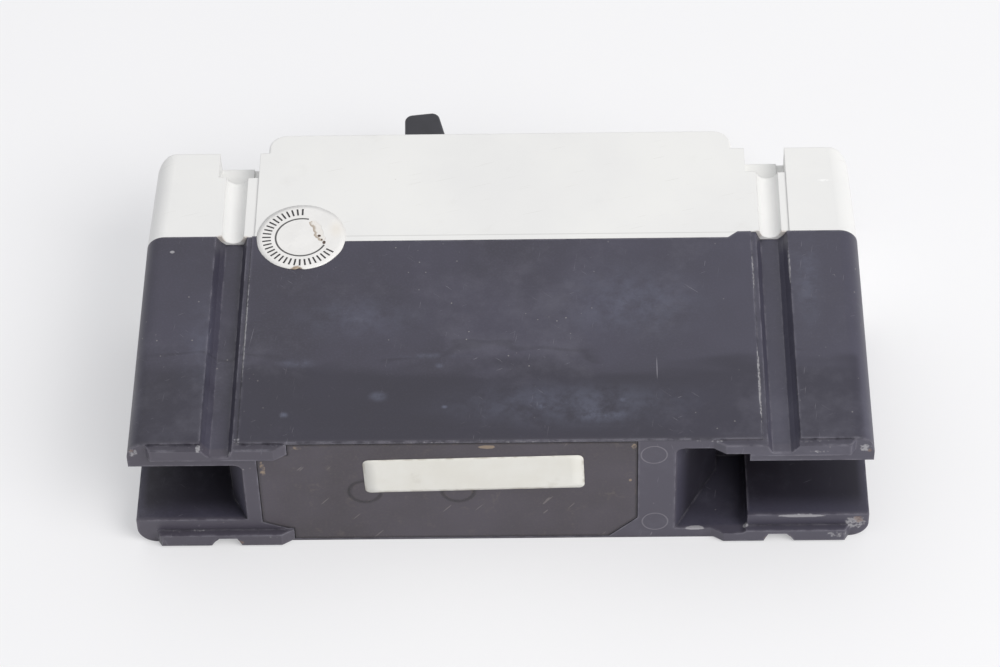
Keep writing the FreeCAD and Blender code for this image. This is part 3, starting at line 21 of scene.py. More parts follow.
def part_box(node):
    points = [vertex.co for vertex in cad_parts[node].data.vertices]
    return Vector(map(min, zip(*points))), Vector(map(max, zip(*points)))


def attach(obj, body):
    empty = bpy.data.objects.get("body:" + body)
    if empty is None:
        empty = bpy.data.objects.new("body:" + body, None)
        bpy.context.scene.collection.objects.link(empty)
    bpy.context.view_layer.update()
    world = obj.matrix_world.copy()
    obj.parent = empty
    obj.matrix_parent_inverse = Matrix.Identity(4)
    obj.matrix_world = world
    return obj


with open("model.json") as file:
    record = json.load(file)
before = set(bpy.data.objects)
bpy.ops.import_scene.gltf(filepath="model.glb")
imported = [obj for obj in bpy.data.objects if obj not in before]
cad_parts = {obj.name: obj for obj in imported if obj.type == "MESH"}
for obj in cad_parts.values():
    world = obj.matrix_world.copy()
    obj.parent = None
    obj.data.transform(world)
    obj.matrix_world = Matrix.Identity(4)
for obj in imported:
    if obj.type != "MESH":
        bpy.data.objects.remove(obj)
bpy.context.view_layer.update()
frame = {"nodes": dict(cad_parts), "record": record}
NODES = frame["nodes"]
MM = 0.001

# %% [markdown]
# The case's outer faces are read from the CAD pieces. The floor and the seal are
# placed by them.

# %% Places read from the solids
base_low, base_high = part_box("base_housing")
cover_low, cover_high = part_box("front_cover")
SIDE = base_high.z
FRONT = cover_high.y
CASE_END = base_high.x
print("case", [round(v / MM, 2) for v in (CASE_END * 2, FRONT, SIDE * 2)], "mm")
print("cover starts", round(cover_low.y / MM, 2), "mm from the back")


# %% [markdown]
# ## Two helpers
#
# Colours are written as the sRGB hex values that a paint chart gives, and one
# function turns them into the linear values that a shader works with. One more
# function adds a node, with its settings and what feeds its sockets, so that a
# material reads as a short list of steps.

# %% Colour and node helpers
def linear(code):
    """A linear colour with alpha from an sRGB hex code."""
    channels = [int(code[i:i + 2], 16) / 255 for i in (0, 2, 4)]
    return [c / 12.92 if c <= 0.04045 else ((c + 0.055) / 1.055) ** 2.4 for c in channels] + [1.0]


def add(tree, kind, settings=(), feeds=()):
    """A node with its settings, whose sockets get a value or a link."""
    node = tree.nodes.new(kind)
    for name, value in dict(settings).items():
        setattr(node, name, value)
    for key, value in dict(feeds).items():
        if isinstance(value, bpy.types.NodeSocket):
            tree.links.new(value, node.inputs[key])
        else:
            node.inputs[key].default_value = value
    return node


def math_step(tree, operation, first, second=0.0):
    """One step of arithmetic on a mask or a length."""
    return add(tree, "ShaderNodeMath", {"operation": operation}, {0: first, 1: second}).outputs[0]


# %% [markdown]
# ## Camera
#
# The camera looks at the breaker from above its back, through a long lens, so that
# parallel edges stay nearly parallel. It stands 0.62 m away and looks down at 48
# degrees. Its aim is a point inside the case, and it is turned a little in yaw and
# roll, as if the breaker had not been laid quite square to it.

# %% The camera
AIM = Vector((-0.41, 35.51, 0.0)) * MM
DISTANCE = 621.8 * MM
YAW, PITCH, ROLL = (math.radians(angle) for angle in (-1.71, 47.67, -1.84))
LENS = 128.6

forward = Vector((math.sin(YAW) * math.cos(PITCH), math.cos(YAW) * math.cos(PITCH), -math.sin(PITCH)))
level_right = Vector((math.cos(YAW), -math.sin(YAW), 0))
level_up = level_right.cross(forward)
right = level_right * math.cos(ROLL) + level_up * math.sin(ROLL)
up = level_up * math.cos(ROLL) - level_right * math.sin(ROLL)

lens = bpy.data.cameras.new("product_lens")
lens.lens = LENS
lens.sensor_width = 36
lens.clip_start = 0.01
camera = bpy.data.objects.new("camera", lens)
bpy.context.scene.collection.objects.link(camera)
camera.matrix_world = Matrix((
    (right.x, up.x, -forward.x, AIM.x - forward.x * DISTANCE),
    (right.y, up.y, -forward.y, AIM.y - forward.y * DISTANCE),
    (right.z, up.z, -forward.z, AIM.z - forward.z * DISTANCE),
    (0, 0, 0, 1)))
bpy.context.scene.camera = camera
bpy.context.scene.view_settings.view_transform = "Standard"
print("camera at", [round(v, 3) for v in camera.matrix_world.translation])

# %% [markdown]
# ## Floor and light
#
# The breaker lies on a white table under soft light. The floor keeps the shadow, and
# part of what the camera sees of it is its own pale tone, as a light table has, so the
# shadow stays faint. The world gives most of the light, as in a white tent. A soft box
# in front at the right lights the back face and pushes the shadow to the left, and a
# weak one behind the case lies as sheen on its upper side.

# %% The floor
FLOOR_LEVEL = base_low.z
FLOOR_REACH = 3.0
OWN_GLOW = 0.4
floor_mesh = bpy.data.meshes.new("floor")
floor_mesh.from_pydata(
    [(x * FLOOR_REACH, y * FLOOR_REACH, FLOOR_LEVEL) for x, y in ((-1, -1), (1, -1), (1, 1), (-1, 1))],
    [], [(0, 1, 2, 3)])
floor = bpy.data.objects.new("floor", floor_mesh)
bpy.context.scene.collection.objects.link(floor)

paper = bpy.data.materials.new("matt_white_table")
paper.use_nodes = True
tree = paper.node_tree
shader = tree.nodes["Principled BSDF"]
place = add(tree, "ShaderNodeTexCoord").outputs["Object"]
cloud = add(tree, "ShaderNodeTexNoise", feeds={"Vector": place, "Scale": 7.0, "Detail": 3.0})
tone = add(tree, "ShaderNodeMix", {"data_type": "RGBA"},
           {0: cloud.outputs["Fac"], 6: linear("f1f1f3"), 7: linear("f5f5f6")})
tree.links.new(tone.outputs[2], shader.inputs["Base Color"])
shader.inputs["Roughness"].default_value = 0.85
shader.inputs["Specular IOR Level"].default_value = 0.1
glow = add(tree, "ShaderNodeEmission", feeds={"Color": tone.outputs[2], "Strength": 1.0})
rays = add(tree, "ShaderNodeLightPath").outputs
seen = math_step(tree, "MAXIMUM", rays["Is Camera Ray"],
                 math_step(tree, "MAXIMUM", rays["Is Glossy Ray"], rays["Is Transmission Ray"]))
lifted = add(tree, "ShaderNodeMixShader", feeds={
    0: math_step(tree, "MULTIPLY", seen, OWN_GLOW), 1: shader.outputs[0], 2: glow.outputs[0]})
tree.links.new(lifted.outputs[0], tree.nodes["Material Output"].inputs["Surface"])
floor_mesh.materials.append(paper)
print("floor level", round(FLOOR_LEVEL / MM, 2), "mm")

# %% The lights
world = bpy.data.worlds.new("studio")
bpy.context.scene.world = world
world.use_nodes = True
fill = world.node_tree.nodes["Background"]
fill.inputs["Color"].default_value = linear("f6f7fa")
fill.inputs["Strength"].default_value = 0.64


def soft_box(name, place, aim, size, power):
    """A rectangular area lamp that faces its aim."""
    lamp = bpy.data.lights.new(name, "AREA")
    lamp.shape = "RECTANGLE"
    lamp.size, lamp.size_y = size
    lamp.energy = power
    lamp.color = linear("fffdfa")[:3]
    holder = bpy.data.objects.new(name, lamp)
    bpy.context.scene.collection.objects.link(holder)
    holder.location = place
    holder.rotation_euler = (Vector(aim) - Vector(place)).to_track_quat("-Z", "Y").to_euler()


CASE_MIDDLE = (0, 0.03, 0)
soft_box("rear_box", (-0.3, 0.9, 1.2), CASE_MIDDLE, (1.4, 1.2), 2.0)
soft_box("front_box", (0.8, -0.6, 0.95), CASE_MIDDLE, (0.9, 0.9), 13.5)


# %% [markdown]
# ## Pattern steps that several finishes share
#
# Three things happen to every old moulding. Its sharp edges rub pale, its broad faces
# pick up fine scratches, and knocks leave scuffs at certain places. Each is one small
# function that returns a mask between 0 and 1, and `tinted` lays a colour over another
# through such a mask. The edge mask compares the face's own normal
# with the normal that Blender's Bevel node finds nearby: the two differ only within
# the bevel's radius of an edge. Scratches are a noise pattern squeezed along one
# direction, of which only the highest crests are kept.
#
# Moulding grain and hairline scratches are mostly finer than a tenth of a millimetre,
# too fine to show from where the camera stands. They are drawn coarser than they are,
# the scratches at 0.15 mm and the grain at 0.3 to 0.4 mm, so that they show at all.

# %% Shared masks
def between(tree, value, low, high):
    """How far a value is from low to high, as 0 to 1."""
    return add(tree, "ShaderNodeMapRange", {"interpolation_type": "SMOOTHSTEP"},
               {0: value, 1: low, 2: high}).outputs[0]


def noise(tree, vector, per_metre, detail=3.0, rough=0.55):
    """Noise with a number of cells per metre."""
    return add(tree, "ShaderNodeTexNoise", feeds={
        "Vector": vector, "Scale": per_metre, "Detail": detail, "Roughness": rough}).outputs["Fac"]


def rubbed_edge(tree, radius):
    """1 on sharp edges, falling to 0 a radius away."""
    bent = add(tree, "ShaderNodeBevel", {"samples": 4}, {"Radius": radius})
    flat = add(tree, "ShaderNodeNewGeometry")
    same = add(tree, "ShaderNodeVectorMath", {"operation": "DOT_PRODUCT"},
               {0: bent.outputs[0], 1: flat.outputs["True Normal"]}).outputs["Value"]
    return between(tree, same, 0.985, 0.80)


def scratches(tree, place, turn, length, spacing, keep):
    """Thin straight marks that run along a direction turned about Z."""
    turned = add(tree, "ShaderNodeMapping", {"vector_type": "TEXTURE"}, {
        "Vector": place, "Rotation": Euler((0.15, 0.1, turn)), "Scale": (length, spacing, length)})
    crest = noise(tree, turned.outputs[0], 1.0, 1.0, 0.4)
    return between(tree, crest, keep, keep + 0.03)


def mixed(tree, amount, first, second):
    """A colour between two, by a mask."""
    return add(tree, "ShaderNodeMix", {"data_type": "RGBA"}, {0: amount, 6: first, 7: second}).outputs[2]


def tinted(tree, colour, mask, share, code):
    """A colour with another over it where the mask is, at a share of its strength."""
    return mixed(tree, math_step(tree, "MULTIPLY", mask, share), colour, linear(code))


def spots(tree, place, rows, edge=0.2):
    """Soft blobs, each a centre and half sizes in mm and a weight; the strongest counts."""
    total = 0.0
    for centre, half, weight in rows:
        local = add(tree, "ShaderNodeMapping", {"vector_type": "TEXTURE"}, {
            "Vector": place, "Location": Vector(centre) * MM, "Scale": Vector(half) * MM}).outputs[0]
        away = add(tree, "ShaderNodeVectorMath", {"operation": "LENGTH"}, {0: local}).outputs["Value"]
        blob = math_step(tree, "MULTIPLY", between(tree, away, 1.0, edge), weight)
        total = math_step(tree, "MAXIMUM", blob, total)
    return total


def scuffed(tree, place, rows, per_metre):
    """Blobs whose border and inside are broken up by noise with a number of cells per metre."""
    grit = noise(tree, place, per_metre, 4.0, 0.65)
    return between(tree, math_step(tree, "ADD", spots(tree, place, rows, 0.4), grit), 0.94, 1.12)


def bumped(tree, height, distance, strength=1.0, under=None):
    """A normal from a height, on top of another normal if one is given."""
    feeds = {"Height": height, "Distance": distance, "Strength": strength}
    if under is not None:
        feeds["Normal"] = under
    return add(tree, "ShaderNodeBump", feeds=feeds).outputs[0]


def new_finish(name):
    """An empty material with its shader and the object's own coordinates."""
    material = bpy.data.materials.new(name)
    material.use_nodes = True
    tree = material.node_tree
    place = add(tree, "ShaderNodeTexCoord").outputs["Object"]
    return material, tree, tree.nodes["Principled BSDF"], place


def finish(node_names, material):
    """Gives CAD pieces a finish in place of their plain colour."""
    for name in node_names:
        mesh = NODES[name].data
        mesh.materials.clear()
        mesh.materials.append(material)


# %% [markdown]
# ## Case base: moulded thermoset
#
# Breaker bases are pressed from a black, glass-filled thermoset. It is hard and a
# little glossy, with a fine grain of filler in its skin. Light from a white room lies
# on it as a grey sheen, so the colour itself is much darker than it looks. It scuffs
# pale: glass shows at rubbed edges, and cartons leave thin scratches. Two small rings
# on the back are left by the pins that pushed the moulding out of its mould.
#
# Scuffs, grime, and haze with painted sheen sit at places of their own, each a row in
# millimetres. The skin is painted lighter on the back, as painted light from the white
# floor, and lighter toward the load end, as painted sheen. It is painted darker inside
# the chambers, as their shade, and darker in a wavy band low on the wide side, as a
# painted duller reflection. Blender's Ambient Occlusion node finds the inner corners,
# and dirt with painted shade darkens them.

# %% The thermoset base
CHANNEL_EDGE = 43.3
THERMOSET_SCUFFS = [
    ((50.5, 0.0, -7.4), (6.0, 0.9, 0.55), 0.85),
    ((59.6, 0.3, -9.2), (3.2, 2.2, 2.8), 0.55),
    ((56.5, -1.0, -10.8), (3.2, 1.2, 1.6), 0.5),
    ((32.6, 0.0, -10.5), (2.4, 0.8, 0.5), 0.95),
    ((31.3, 0.3, -9.6), (0.4, 0.8, 1.1), 0.8),
    ((40.9, 0.0, -9.7), (1.1, 0.8, 0.8), 0.8),
    ((-60.9, -0.4, 10.6), (1.7, 2.0, 1.9), 0.5),
    ((-49.8, -0.7, 12.2), (0.8, 1.4, 0.8), 0.6),
    ((-45.2, -1.0, 11.4), (1.3, 1.0, 1.0), 0.6),
    ((-43.4, 0.6, 12.4), (1.2, 1.4, 0.8), 0.5),
    ((-39.0, -1.0, -10.4), (3.4, 0.8, 0.9), 0.42),
    ((45.8, -0.8, 11.6), (1.9, 1.0, 1.2), 0.6),
    ((52.5, -1.1, 10.8), (3.4, 0.7, 0.7), 0.5),
    ((60.4, -0.4, 10.2), (1.8, 2.0, 2.0), 0.55),
    ((-52.0, -0.4, 12.0), (9.0, 0.9, 0.7), 0.42),
    ((-36.0, -0.4, 12.0), (5.0, 0.9, 0.8), 0.42),
    ((52.0, -0.4, 12.0), (8.5, 0.9, 0.7), 0.44),
    ((34.0, -0.2, 12.2), (6.0, 0.7, 0.6), 0.42),
    ((-53.0, -0.2, -9.9), (8.0, 0.7, 0.5), 0.42),
    ((-CHANNEL_EDGE, 26.0, 12.6), (0.3, 22.0, 0.5), 0.62),
    ((CHANNEL_EDGE, 12.0, 12.6), (0.4, 15.0, 0.6), 0.58),
    ((CHANNEL_EDGE, 38.0, 12.6), (0.3, 9.0, 0.5), 0.55),
    ((49.6, 39.0, 12.5), (0.3, 8.0, 0.6), 0.6),
    ((-57.0, 43.8, 12.7), (0.7, 0.5, 0.4), 0.7),
    ((-3.0, 0.0, 12.5), (34.0, 0.5, 0.4), 0.42),
]
THERMOSET_GRIME = [
    ((60.2, -0.2, -8.4), (1.6, 1.8, 1.6), 0.6),
    ((-61.0, -0.6, 11.0), (1.0, 1.4, 1.2), 0.6),
    ((61.0, -0.6, 9.4), (0.9, 1.4, 1.3), 0.6),
    ((-46.4, -1.2, -11.6), (3.4, 1.0, 1.2), 1.0),
    ((46.6, -1.2, -11.6), (3.4, 1.0, 1.2), 1.0),
]
# Hazed spots and broad patches of painted bluish sheen, each a centre, half sizes in mm and a weight.
THERMOSET_HAZE_AND_SHEEN = [
    ((16.5, 6.0, 12.7), (8.5, 3.2, 2.0), 0.8),
    ((20.4, 8.8, 12.7), (1.2, 1.0, 1.0), 0.9),
    ((7.0, 7.5, 12.7), (1.1, 0.9, 1.0), 1.0),
    ((-9.2, 7.6, 12.7), (0.8, 0.6, 1.0), 0.9),
    ((-10.2, 16.9, 12.7), (1.1, 0.9, 1.0), 0.8),
    ((-20.3, 10.0, 12.7), (2.2, 1.6, 1.0), 0.6),
    ((-35.9, 6.1, 12.7), (1.0, 0.9, 1.0), 1.0),
    ((-34.0, 17.6, 12.7), (4.5, 1.4, 1.0), 0.6),
    ((-12.0, 19.0, 12.7), (9.0, 1.0, 1.0), 0.45),
    ((52.5, 36.0, 12.7), (3.4, 16.0, 1.0), 0.35),
    ((12.0, 8.0, 12.7), (30.0, 7.0, 1.5), 0.42),
    ((22.0, 31.0, 12.7), (18.0, 12.0, 1.5), 0.38),
    ((-24.0, 28.0, 12.7), (16.0, 7.0, 1.5), 0.3),
    ((-50.0, 22.0, 12.7), (6.0, 18.0, 1.5), 0.25),
]

thermoset, tree, shader, place = new_finish("moulded_thermoset")
parts = add(tree, "ShaderNodeSeparateXYZ", feeds={0: place}).outputs
broad = noise(tree, place, 55.0, 4.0)
grain = noise(tree, place, 2600.0, 3.0)
colour = mixed(tree, between(tree, broad, 0.3, 0.7), linear("35333f"), linear("403e4c"))
colour = tinted(tree, colour, between(tree, grain, 0.45, 0.75), 0.35, "4b4859")
# Painted light: the back faces are painted lighter, for the light the white floor throws back onto them.
back = between(tree, parts["Y"], 0.9 * MM, 0.3 * MM)
colour = tinted(tree, colour, back, 0.75, "4d4953")

# Painted shade: the walls inside the chambers are painted darker.
across = math_step(tree, "ABSOLUTE", parts["Z"])
along = math_step(tree, "ABSOLUTE", parts["X"])
inner = math_step(tree, "MULTIPLY", between(tree, across, 10.6 * MM, 10.1 * MM),
                  between(tree, along, 61.6 * MM, 60.0 * MM))
inner = math_step(tree, "MULTIPLY", inner, between(tree, parts["Y"], 0.2 * MM, 5 * MM))
# Painted sheen: the skin is painted lighter toward the load end, where the light comes from.
loadward_painted_sheen = between(tree, parts["X"], -10 * MM, 58 * MM)
colour = tinted(tree, colour, loadward_painted_sheen, 0.4, "4b4a59")
colour = tinted(tree, colour, inner, 0.72, "17141b")

# Painted reflection: a wavy band low on the wide side, and a line along its far edge, are painted darker,
# for a smoother band that reflects darker.
wide = add(tree, "ShaderNodeMapping", {"vector_type": "TEXTURE"}, {
    "Vector": place, "Scale": (1.0, 0.35, 1.0)}).outputs[0]
sway = math_step(tree, "SUBTRACT", noise(tree, wide, 42.0, 2.0), 0.5)
sway = math_step(tree, "MULTIPLY", sway, 16 * MM)
level = math_step(tree, "ADD", parts["Y"], sway)
dark_reflection_band = math_step(tree, "MULTIPLY", between(tree, level, 18.5 * MM, 14.0 * MM),
                    between(tree, parts["Z"], 12.0 * MM, 12.6 * MM))
colour = tinted(tree, colour, dark_reflection_band, 0.6, "24222e")
crest = math_step(tree, "ABSOLUTE", math_step(tree, "SUBTRACT", level, 19.5 * MM))
ripple = math_step(tree, "MULTIPLY", between(tree, crest, 0.8 * MM, 0.1 * MM),
                   between(tree, noise(tree, place, 70.0, 2.0), 0.45, 0.65))
colour = tinted(tree, colour, ripple, 0.45, "22202b")
# Haze and painted sheen: pale bluish patches broken by cloud noise, partly hazed skin and partly painted
# sheen.
cloud = noise(tree, place, 240.0, 5.0, 0.7)
haze_and_sheen = math_step(tree, "MULTIPLY", spots(tree, place, THERMOSET_HAZE_AND_SHEEN, 0.0),
                 between(tree, cloud, 0.3, 0.68))
colour = tinted(tree, colour, haze_and_sheen, 0.75, "6d7286")
veil = between(tree, noise(tree, place, 38.0, 6.0, 0.75), 0.5, 0.72)
colour = tinted(tree, colour, veil, 0.3, "63626e")

marks = scratches(tree, place, 1.45, 5 * MM, 0.14 * MM, 0.765)
marks = math_step(tree, "MAXIMUM", marks, scratches(tree, place, 0.5, 3 * MM, 0.14 * MM, 0.775))
marks = math_step(tree, "MAXIMUM", marks, scratches(tree, place, -0.7, 4 * MM, 0.14 * MM, 0.775))
patchy = between(tree, noise(tree, place, 70.0, 3.0), 0.45, 0.62)
marks = math_step(tree, "MULTIPLY", marks, math_step(tree, "MULTIPLY", patchy, 0.5))
long_mark = spots(tree, place, [((26.3, 15.8, 12.7), (0.11, 2.9, 1.0), 0.5)], 0.5)
marks = math_step(tree, "MAXIMUM", marks, long_mark)
colour = mixed(tree, marks, colour, linear("9a98a0"))

edge = rubbed_edge(tree, 0.75 * MM)
worn = math_step(tree, "MULTIPLY", edge, between(tree, noise(tree, place, 420.0, 4.0), 0.36, 0.6))
colour = tinted(tree, colour, worn, 0.5, "8f8d98")
# Dirt and painted shade: the inner corners that Ambient Occlusion finds are painted dark.
corner = add(tree, "ShaderNodeAmbientOcclusion", {"samples": 6}, {"Distance": 1.6 * MM}).outputs["AO"]
colour = tinted(tree, colour, between(tree, corner, 0.72, 0.4), 0.7, "17151c")
scuff = scuffed(tree, place, THERMOSET_SCUFFS, 1500.0)
colour = tinted(tree, colour, scuff, 0.62, "b4b3b6")
grime = scuffed(tree, place, THERMOSET_GRIME, 900.0)
colour = tinted(tree, colour, grime, 0.6, "7d685c")

specks = add(tree, "ShaderNodeTexVoronoi", feeds={"Vector": place, "Scale": 480.0}).outputs["Distance"]
specks = math_step(tree, "MULTIPLY", between(tree, specks, 0.08, 0.03),
                   between(tree, noise(tree, place, 60.0), 0.5, 0.62))
colour = tinted(tree, colour, specks, 0.5, "b4b1ac")

EJECTOR_RADIUS = 2.15 * MM
EJECTOR_PLACES = ((25.5 * MM, 0, 8.8 * MM), (25.8 * MM, 0, -8.5 * MM))
rings = 0.0
for centre in EJECTOR_PLACES:
    away = add(tree, "ShaderNodeVectorMath", {"operation": "DISTANCE"},
               {0: place, 1: centre}).outputs["Value"]
    off_circle = math_step(tree, "ABSOLUTE", math_step(tree, "SUBTRACT", away, EJECTOR_RADIUS))
    rings = math_step(tree, "MAXIMUM", between(tree, off_circle, 0.16 * MM, 0.06 * MM), rings)
colour = tinted(tree, colour, rings, 0.4, "8d8a92")

tree.links.new(colour, shader.inputs["Base Color"])
rough = add(tree, "ShaderNodeMapRange", feeds={0: broad, 1: 0.3, 2: 0.7, 3: 0.36, 4: 0.5}).outputs[0]
rubbed = math_step(tree, "MULTIPLY", math_step(tree, "MAXIMUM", marks, scuff), 0.25)
rough = math_step(tree, "ADD", rough, rubbed)
tree.links.new(rough, shader.inputs["Roughness"])
soft_edge = add(tree, "ShaderNodeBevel", {"samples": 4}, {"Radius": 0.18 * MM}).outputs[0]
normal = bumped(tree, grain, 0.012 * MM, 0.6, soft_edge)
normal = bumped(tree, noise(tree, place, 130.0, 2.0), 0.06 * MM, 0.5, normal)
dented = math_step(tree, "SUBTRACT", rings, math_step(tree, "MULTIPLY", scuff, 0.8))
normal = bumped(tree, dented, 0.05 * MM, 0.8, normal)
tree.links.new(normal, shader.inputs["Normal"])
finish(["base_housing"], thermoset)
print("base finish:", thermoset.name, "with", len(tree.nodes), "nodes")

# %% [markdown]
# ## Cover: off-white ABS
#
# The front cover and the test button are moulded from off-white ABS. It is matt and
# even, so the detail is small: a faint change of tone, some grey finger marks and
# specks, and a fine spark-eroded grain that dulls the shine. A thin line runs along
# each wide side just above the base, and brown-grey patches darken the pockets' slots
# and the ends of the grooves.

# %% The off-white cover
COVER_BROWN_PATCHES = [
    ((-44.3, 65.0, 10.6), (1.3, 4.6, 1.3), 0.9),
    ((48.5, 65.0, 10.6), (1.4, 4.6, 1.3), 0.9),
    ((-48.6, 47.4, 12.2), (1.4, 0.5, 1.2), 0.7),
    ((-44.6, 47.4, 12.0), (1.2, 0.5, 1.2), 0.6),
    ((44.6, 47.4, 12.0), (1.2, 0.5, 1.2), 0.5),
    ((48.8, 47.4, 12.2), (1.4, 0.5, 1.2), 0.6),
]
COVER_POLISH = [
    ((56.6, 59.6, 12.7), (2.2, 0.5, 0.5), 0.55),
    ((58.6, 60.6, 12.6), (1.0, 0.8, 0.8), 0.45),
]

abs_white, tree, shader, place = new_finish("off_white_abs")
broad = noise(tree, place, 45.0, 4.0)
colour = mixed(tree, between(tree, broad, 0.3, 0.7), linear("e3e3e2"), linear("e8e8e6"))
smudge = math_step(tree, "MULTIPLY", between(tree, noise(tree, place, 75.0, 5.0, 0.65), 0.6, 0.8), 0.3)
colour = mixed(tree, smudge, colour, linear("c9c7c2"))
marks = scratches(tree, place, 0.3, 8 * MM, 0.15 * MM, 0.755)
colour = tinted(tree, colour, marks, 0.4, "bdbab4")
specks = add(tree, "ShaderNodeTexVoronoi", feeds={"Vector": place, "Scale": 260.0}).outputs["Distance"]
specks = math_step(tree, "MULTIPLY", between(tree, specks, 0.05, 0.02),
                   between(tree, noise(tree, place, 80.0), 0.55, 0.62))
colour = tinted(tree, colour, specks, 0.6, "9b948b")

SKIRT_LINE_LEVEL = 47.2 * MM
parts = add(tree, "ShaderNodeSeparateXYZ", feeds={0: place}).outputs
off_line = math_step(tree, "ABSOLUTE", math_step(tree, "SUBTRACT", parts["Y"], SKIRT_LINE_LEVEL))
on_sides = between(tree, math_step(tree, "ABSOLUTE", parts["Z"]), 12.5 * MM, 12.65 * MM)
middle = between(tree, math_step(tree, "ABSOLUTE", parts["X"]), 42.9 * MM, 42.6 * MM)
skirt_line = math_step(tree, "MULTIPLY", between(tree, off_line, 0.14 * MM, 0.05 * MM),
                       math_step(tree, "MULTIPLY", on_sides, middle))
colour = tinted(tree, colour, skirt_line, 0.5, "b9b8b6")
# Brown-grey patches darken the pockets' slots and the groove ends.
brown_patches = spots(tree, place, COVER_BROWN_PATCHES, 0.4)
colour = tinted(tree, colour, brown_patches, 0.75, "b0a193")
polish = scuffed(tree, place, COVER_POLISH, 700.0)
colour = tinted(tree, colour, polish, 0.8, "f7f7f6")
tree.links.new(colour, shader.inputs["Base Color"])
rough = add(tree, "ShaderNodeMapRange", feeds={0: broad, 1: 0.3, 2: 0.7, 3: 0.44, 4: 0.56}).outputs[0]
tree.links.new(rough, shader.inputs["Roughness"])
soft_edge = add(tree, "ShaderNodeBevel", {"samples": 4}, {"Radius": 0.2 * MM}).outputs[0]
normal = bumped(tree, noise(tree, place, 3000.0, 2.0), 0.01 * MM, 0.5, soft_edge)
tree.links.new(normal, shader.inputs["Normal"])
finish(["front_cover", "test_button"], abs_white)
print("cover finish:", abs_white.name)

# %% [markdown]
# ## Back plate: charcoal phenolic sheet
#
# The plate that closes the back, and the plugs over its screws, are a warmer grey
# than the base, dull and dusty. The gap round each piece is a dark line with brown
# dust along it.

# %% The back plate
PLATE_CLODS = [
    ((-2.1, 0.0, 11.2), (2.2, 1.0, 0.7), 0.75),
    ((-39.6, 0.0, 6.0), (0.9, 1.0, 4.0), 0.5),
    ((-33.5, 0.0, 11.4), (1.4, 1.0, 0.8), 0.5),
    ((22.2, 0.0, 11.0), (0.8, 1.0, 1.0), 0.6),
    ((21.6, 0.0, 2.4), (0.4, 1.0, 0.5), 0.8),
]

phenolic, tree, shader, place = new_finish("charcoal_phenolic")
broad = noise(tree, place, 60.0, 4.0)
grain = noise(tree, place, 2200.0, 3.0)
colour = mixed(tree, between(tree, broad, 0.3, 0.7), linear("423d43"), linear("4c4750"))
colour = tinted(tree, colour, between(tree, grain, 0.45, 0.75), 0.35, "55514f")
dust = between(tree, noise(tree, place, 300.0, 5.0, 0.7), 0.56, 0.74)
colour = tinted(tree, colour, dust, 0.35, "6e6660")
marks = scratches(tree, place, 0.2, 6 * MM, 0.15 * MM, 0.74)
colour = tinted(tree, colour, marks, 0.4, "8c8682")
edge = rubbed_edge(tree, 1.1 * MM)
grimy = math_step(tree, "MULTIPLY", between(tree, edge, 0.0, 0.6),
                  between(tree, noise(tree, place, 500.0, 4.0), 0.46, 0.66))
colour = tinted(tree, colour, grimy, 0.6, "84705c")
clods = scuffed(tree, place, PLATE_CLODS, 1100.0)
colour = tinted(tree, colour, clods, 0.7, "9a8873")
colour = mixed(tree, between(tree, edge, 0.6, 0.95), colour, linear("100e12"))
tree.links.new(colour, shader.inputs["Base Color"])
shader.inputs["Roughness"].default_value = 0.55
tree.links.new(bumped(tree, grain, 0.012 * MM, 0.6), shader.inputs["Normal"])
finish(["back_plate", "plate_plugs"], phenolic)
print("plate finish:", phenolic.name)

# %% [markdown]
# ## Toggle: black nylon
#
# The toggle is glass-filled nylon, satin black, polished a little by thumbs at its
# corners.

# %% The toggle
nylon, tree, shader, place = new_finish("black_nylon")
broad = noise(tree, place, 160.0, 4.0)
colour = mixed(tree, between(tree, broad, 0.3, 0.7), linear("2a2a30"), linear("34343b"))
edge = rubbed_edge(tree, 0.4 * MM)
colour = tinted(tree, colour, edge, 0.4, "59585e")
tree.links.new(colour, shader.inputs["Base Color"])
rough = add(tree, "ShaderNodeMapRange", feeds={0: edge, 3: 0.42, 4: 0.3}).outputs[0]
tree.links.new(rough, shader.inputs["Roughness"])
tree.links.new(bumped(tree, noise(tree, place, 2400.0, 2.0), 0.012 * MM, 0.5), shader.inputs["Normal"])
finish(["toggle_handle"], nylon)


# %% [markdown]
# ## Metals
#
# Inside are punched and plated steel parts, extruded aluminium lugs, copper straps
# and silver contacts. A metal's colour is its reflection, so each starts from its
# usual tint. Roughness changes in streaks on rolled strip and in patches on plating.

# %% The metals
def metal(name, dark, light, rough_low, rough_high, streak):
    """A metal whose tone and roughness change in streaks of a given length."""
    material, tree, shader, place = new_finish(name)
    drawn = add(tree, "ShaderNodeMapping", feeds={
        "Vector": place, "Scale": (1 / streak, 4 / streak, 4 / streak)})
    pattern = noise(tree, drawn.outputs[0], 1.0, 4.0)
    tree.links.new(mixed(tree, between(tree, pattern, 0.3, 0.7), linear(dark), linear(light)),
                   shader.inputs["Base Color"])
    rough = add(tree, "ShaderNodeMapRange",
                feeds={0: pattern, 1: 0.3, 2: 0.7, 3: rough_low, 4: rough_high})
    tree.links.new(rough.outputs[0], shader.inputs["Roughness"])
    tree.links.new(bumped(tree, noise(tree, place, 1800.0, 2.0), 0.008 * MM, 0.5), shader.inputs["Normal"])
    shader.inputs["Metallic"].default_value = 1.0
    return material


METALS = {
    "zinc_steel": metal("zinc_plated_steel", "a7a9ab", "c3c4c4", 0.28, 0.42, 3 * MM),
    "aluminium": metal("extruded_aluminium", "b4b6b9", "d0d1d3", 0.3, 0.45, 6 * MM),
    "copper": metal("rolled_copper", "b06a45", "c98560", 0.26, 0.4, 5 * MM),
    "contact_metal": metal("silver_contact", "bdb9b2", "d8d5ce", 0.22, 0.36, 2 * MM),
}


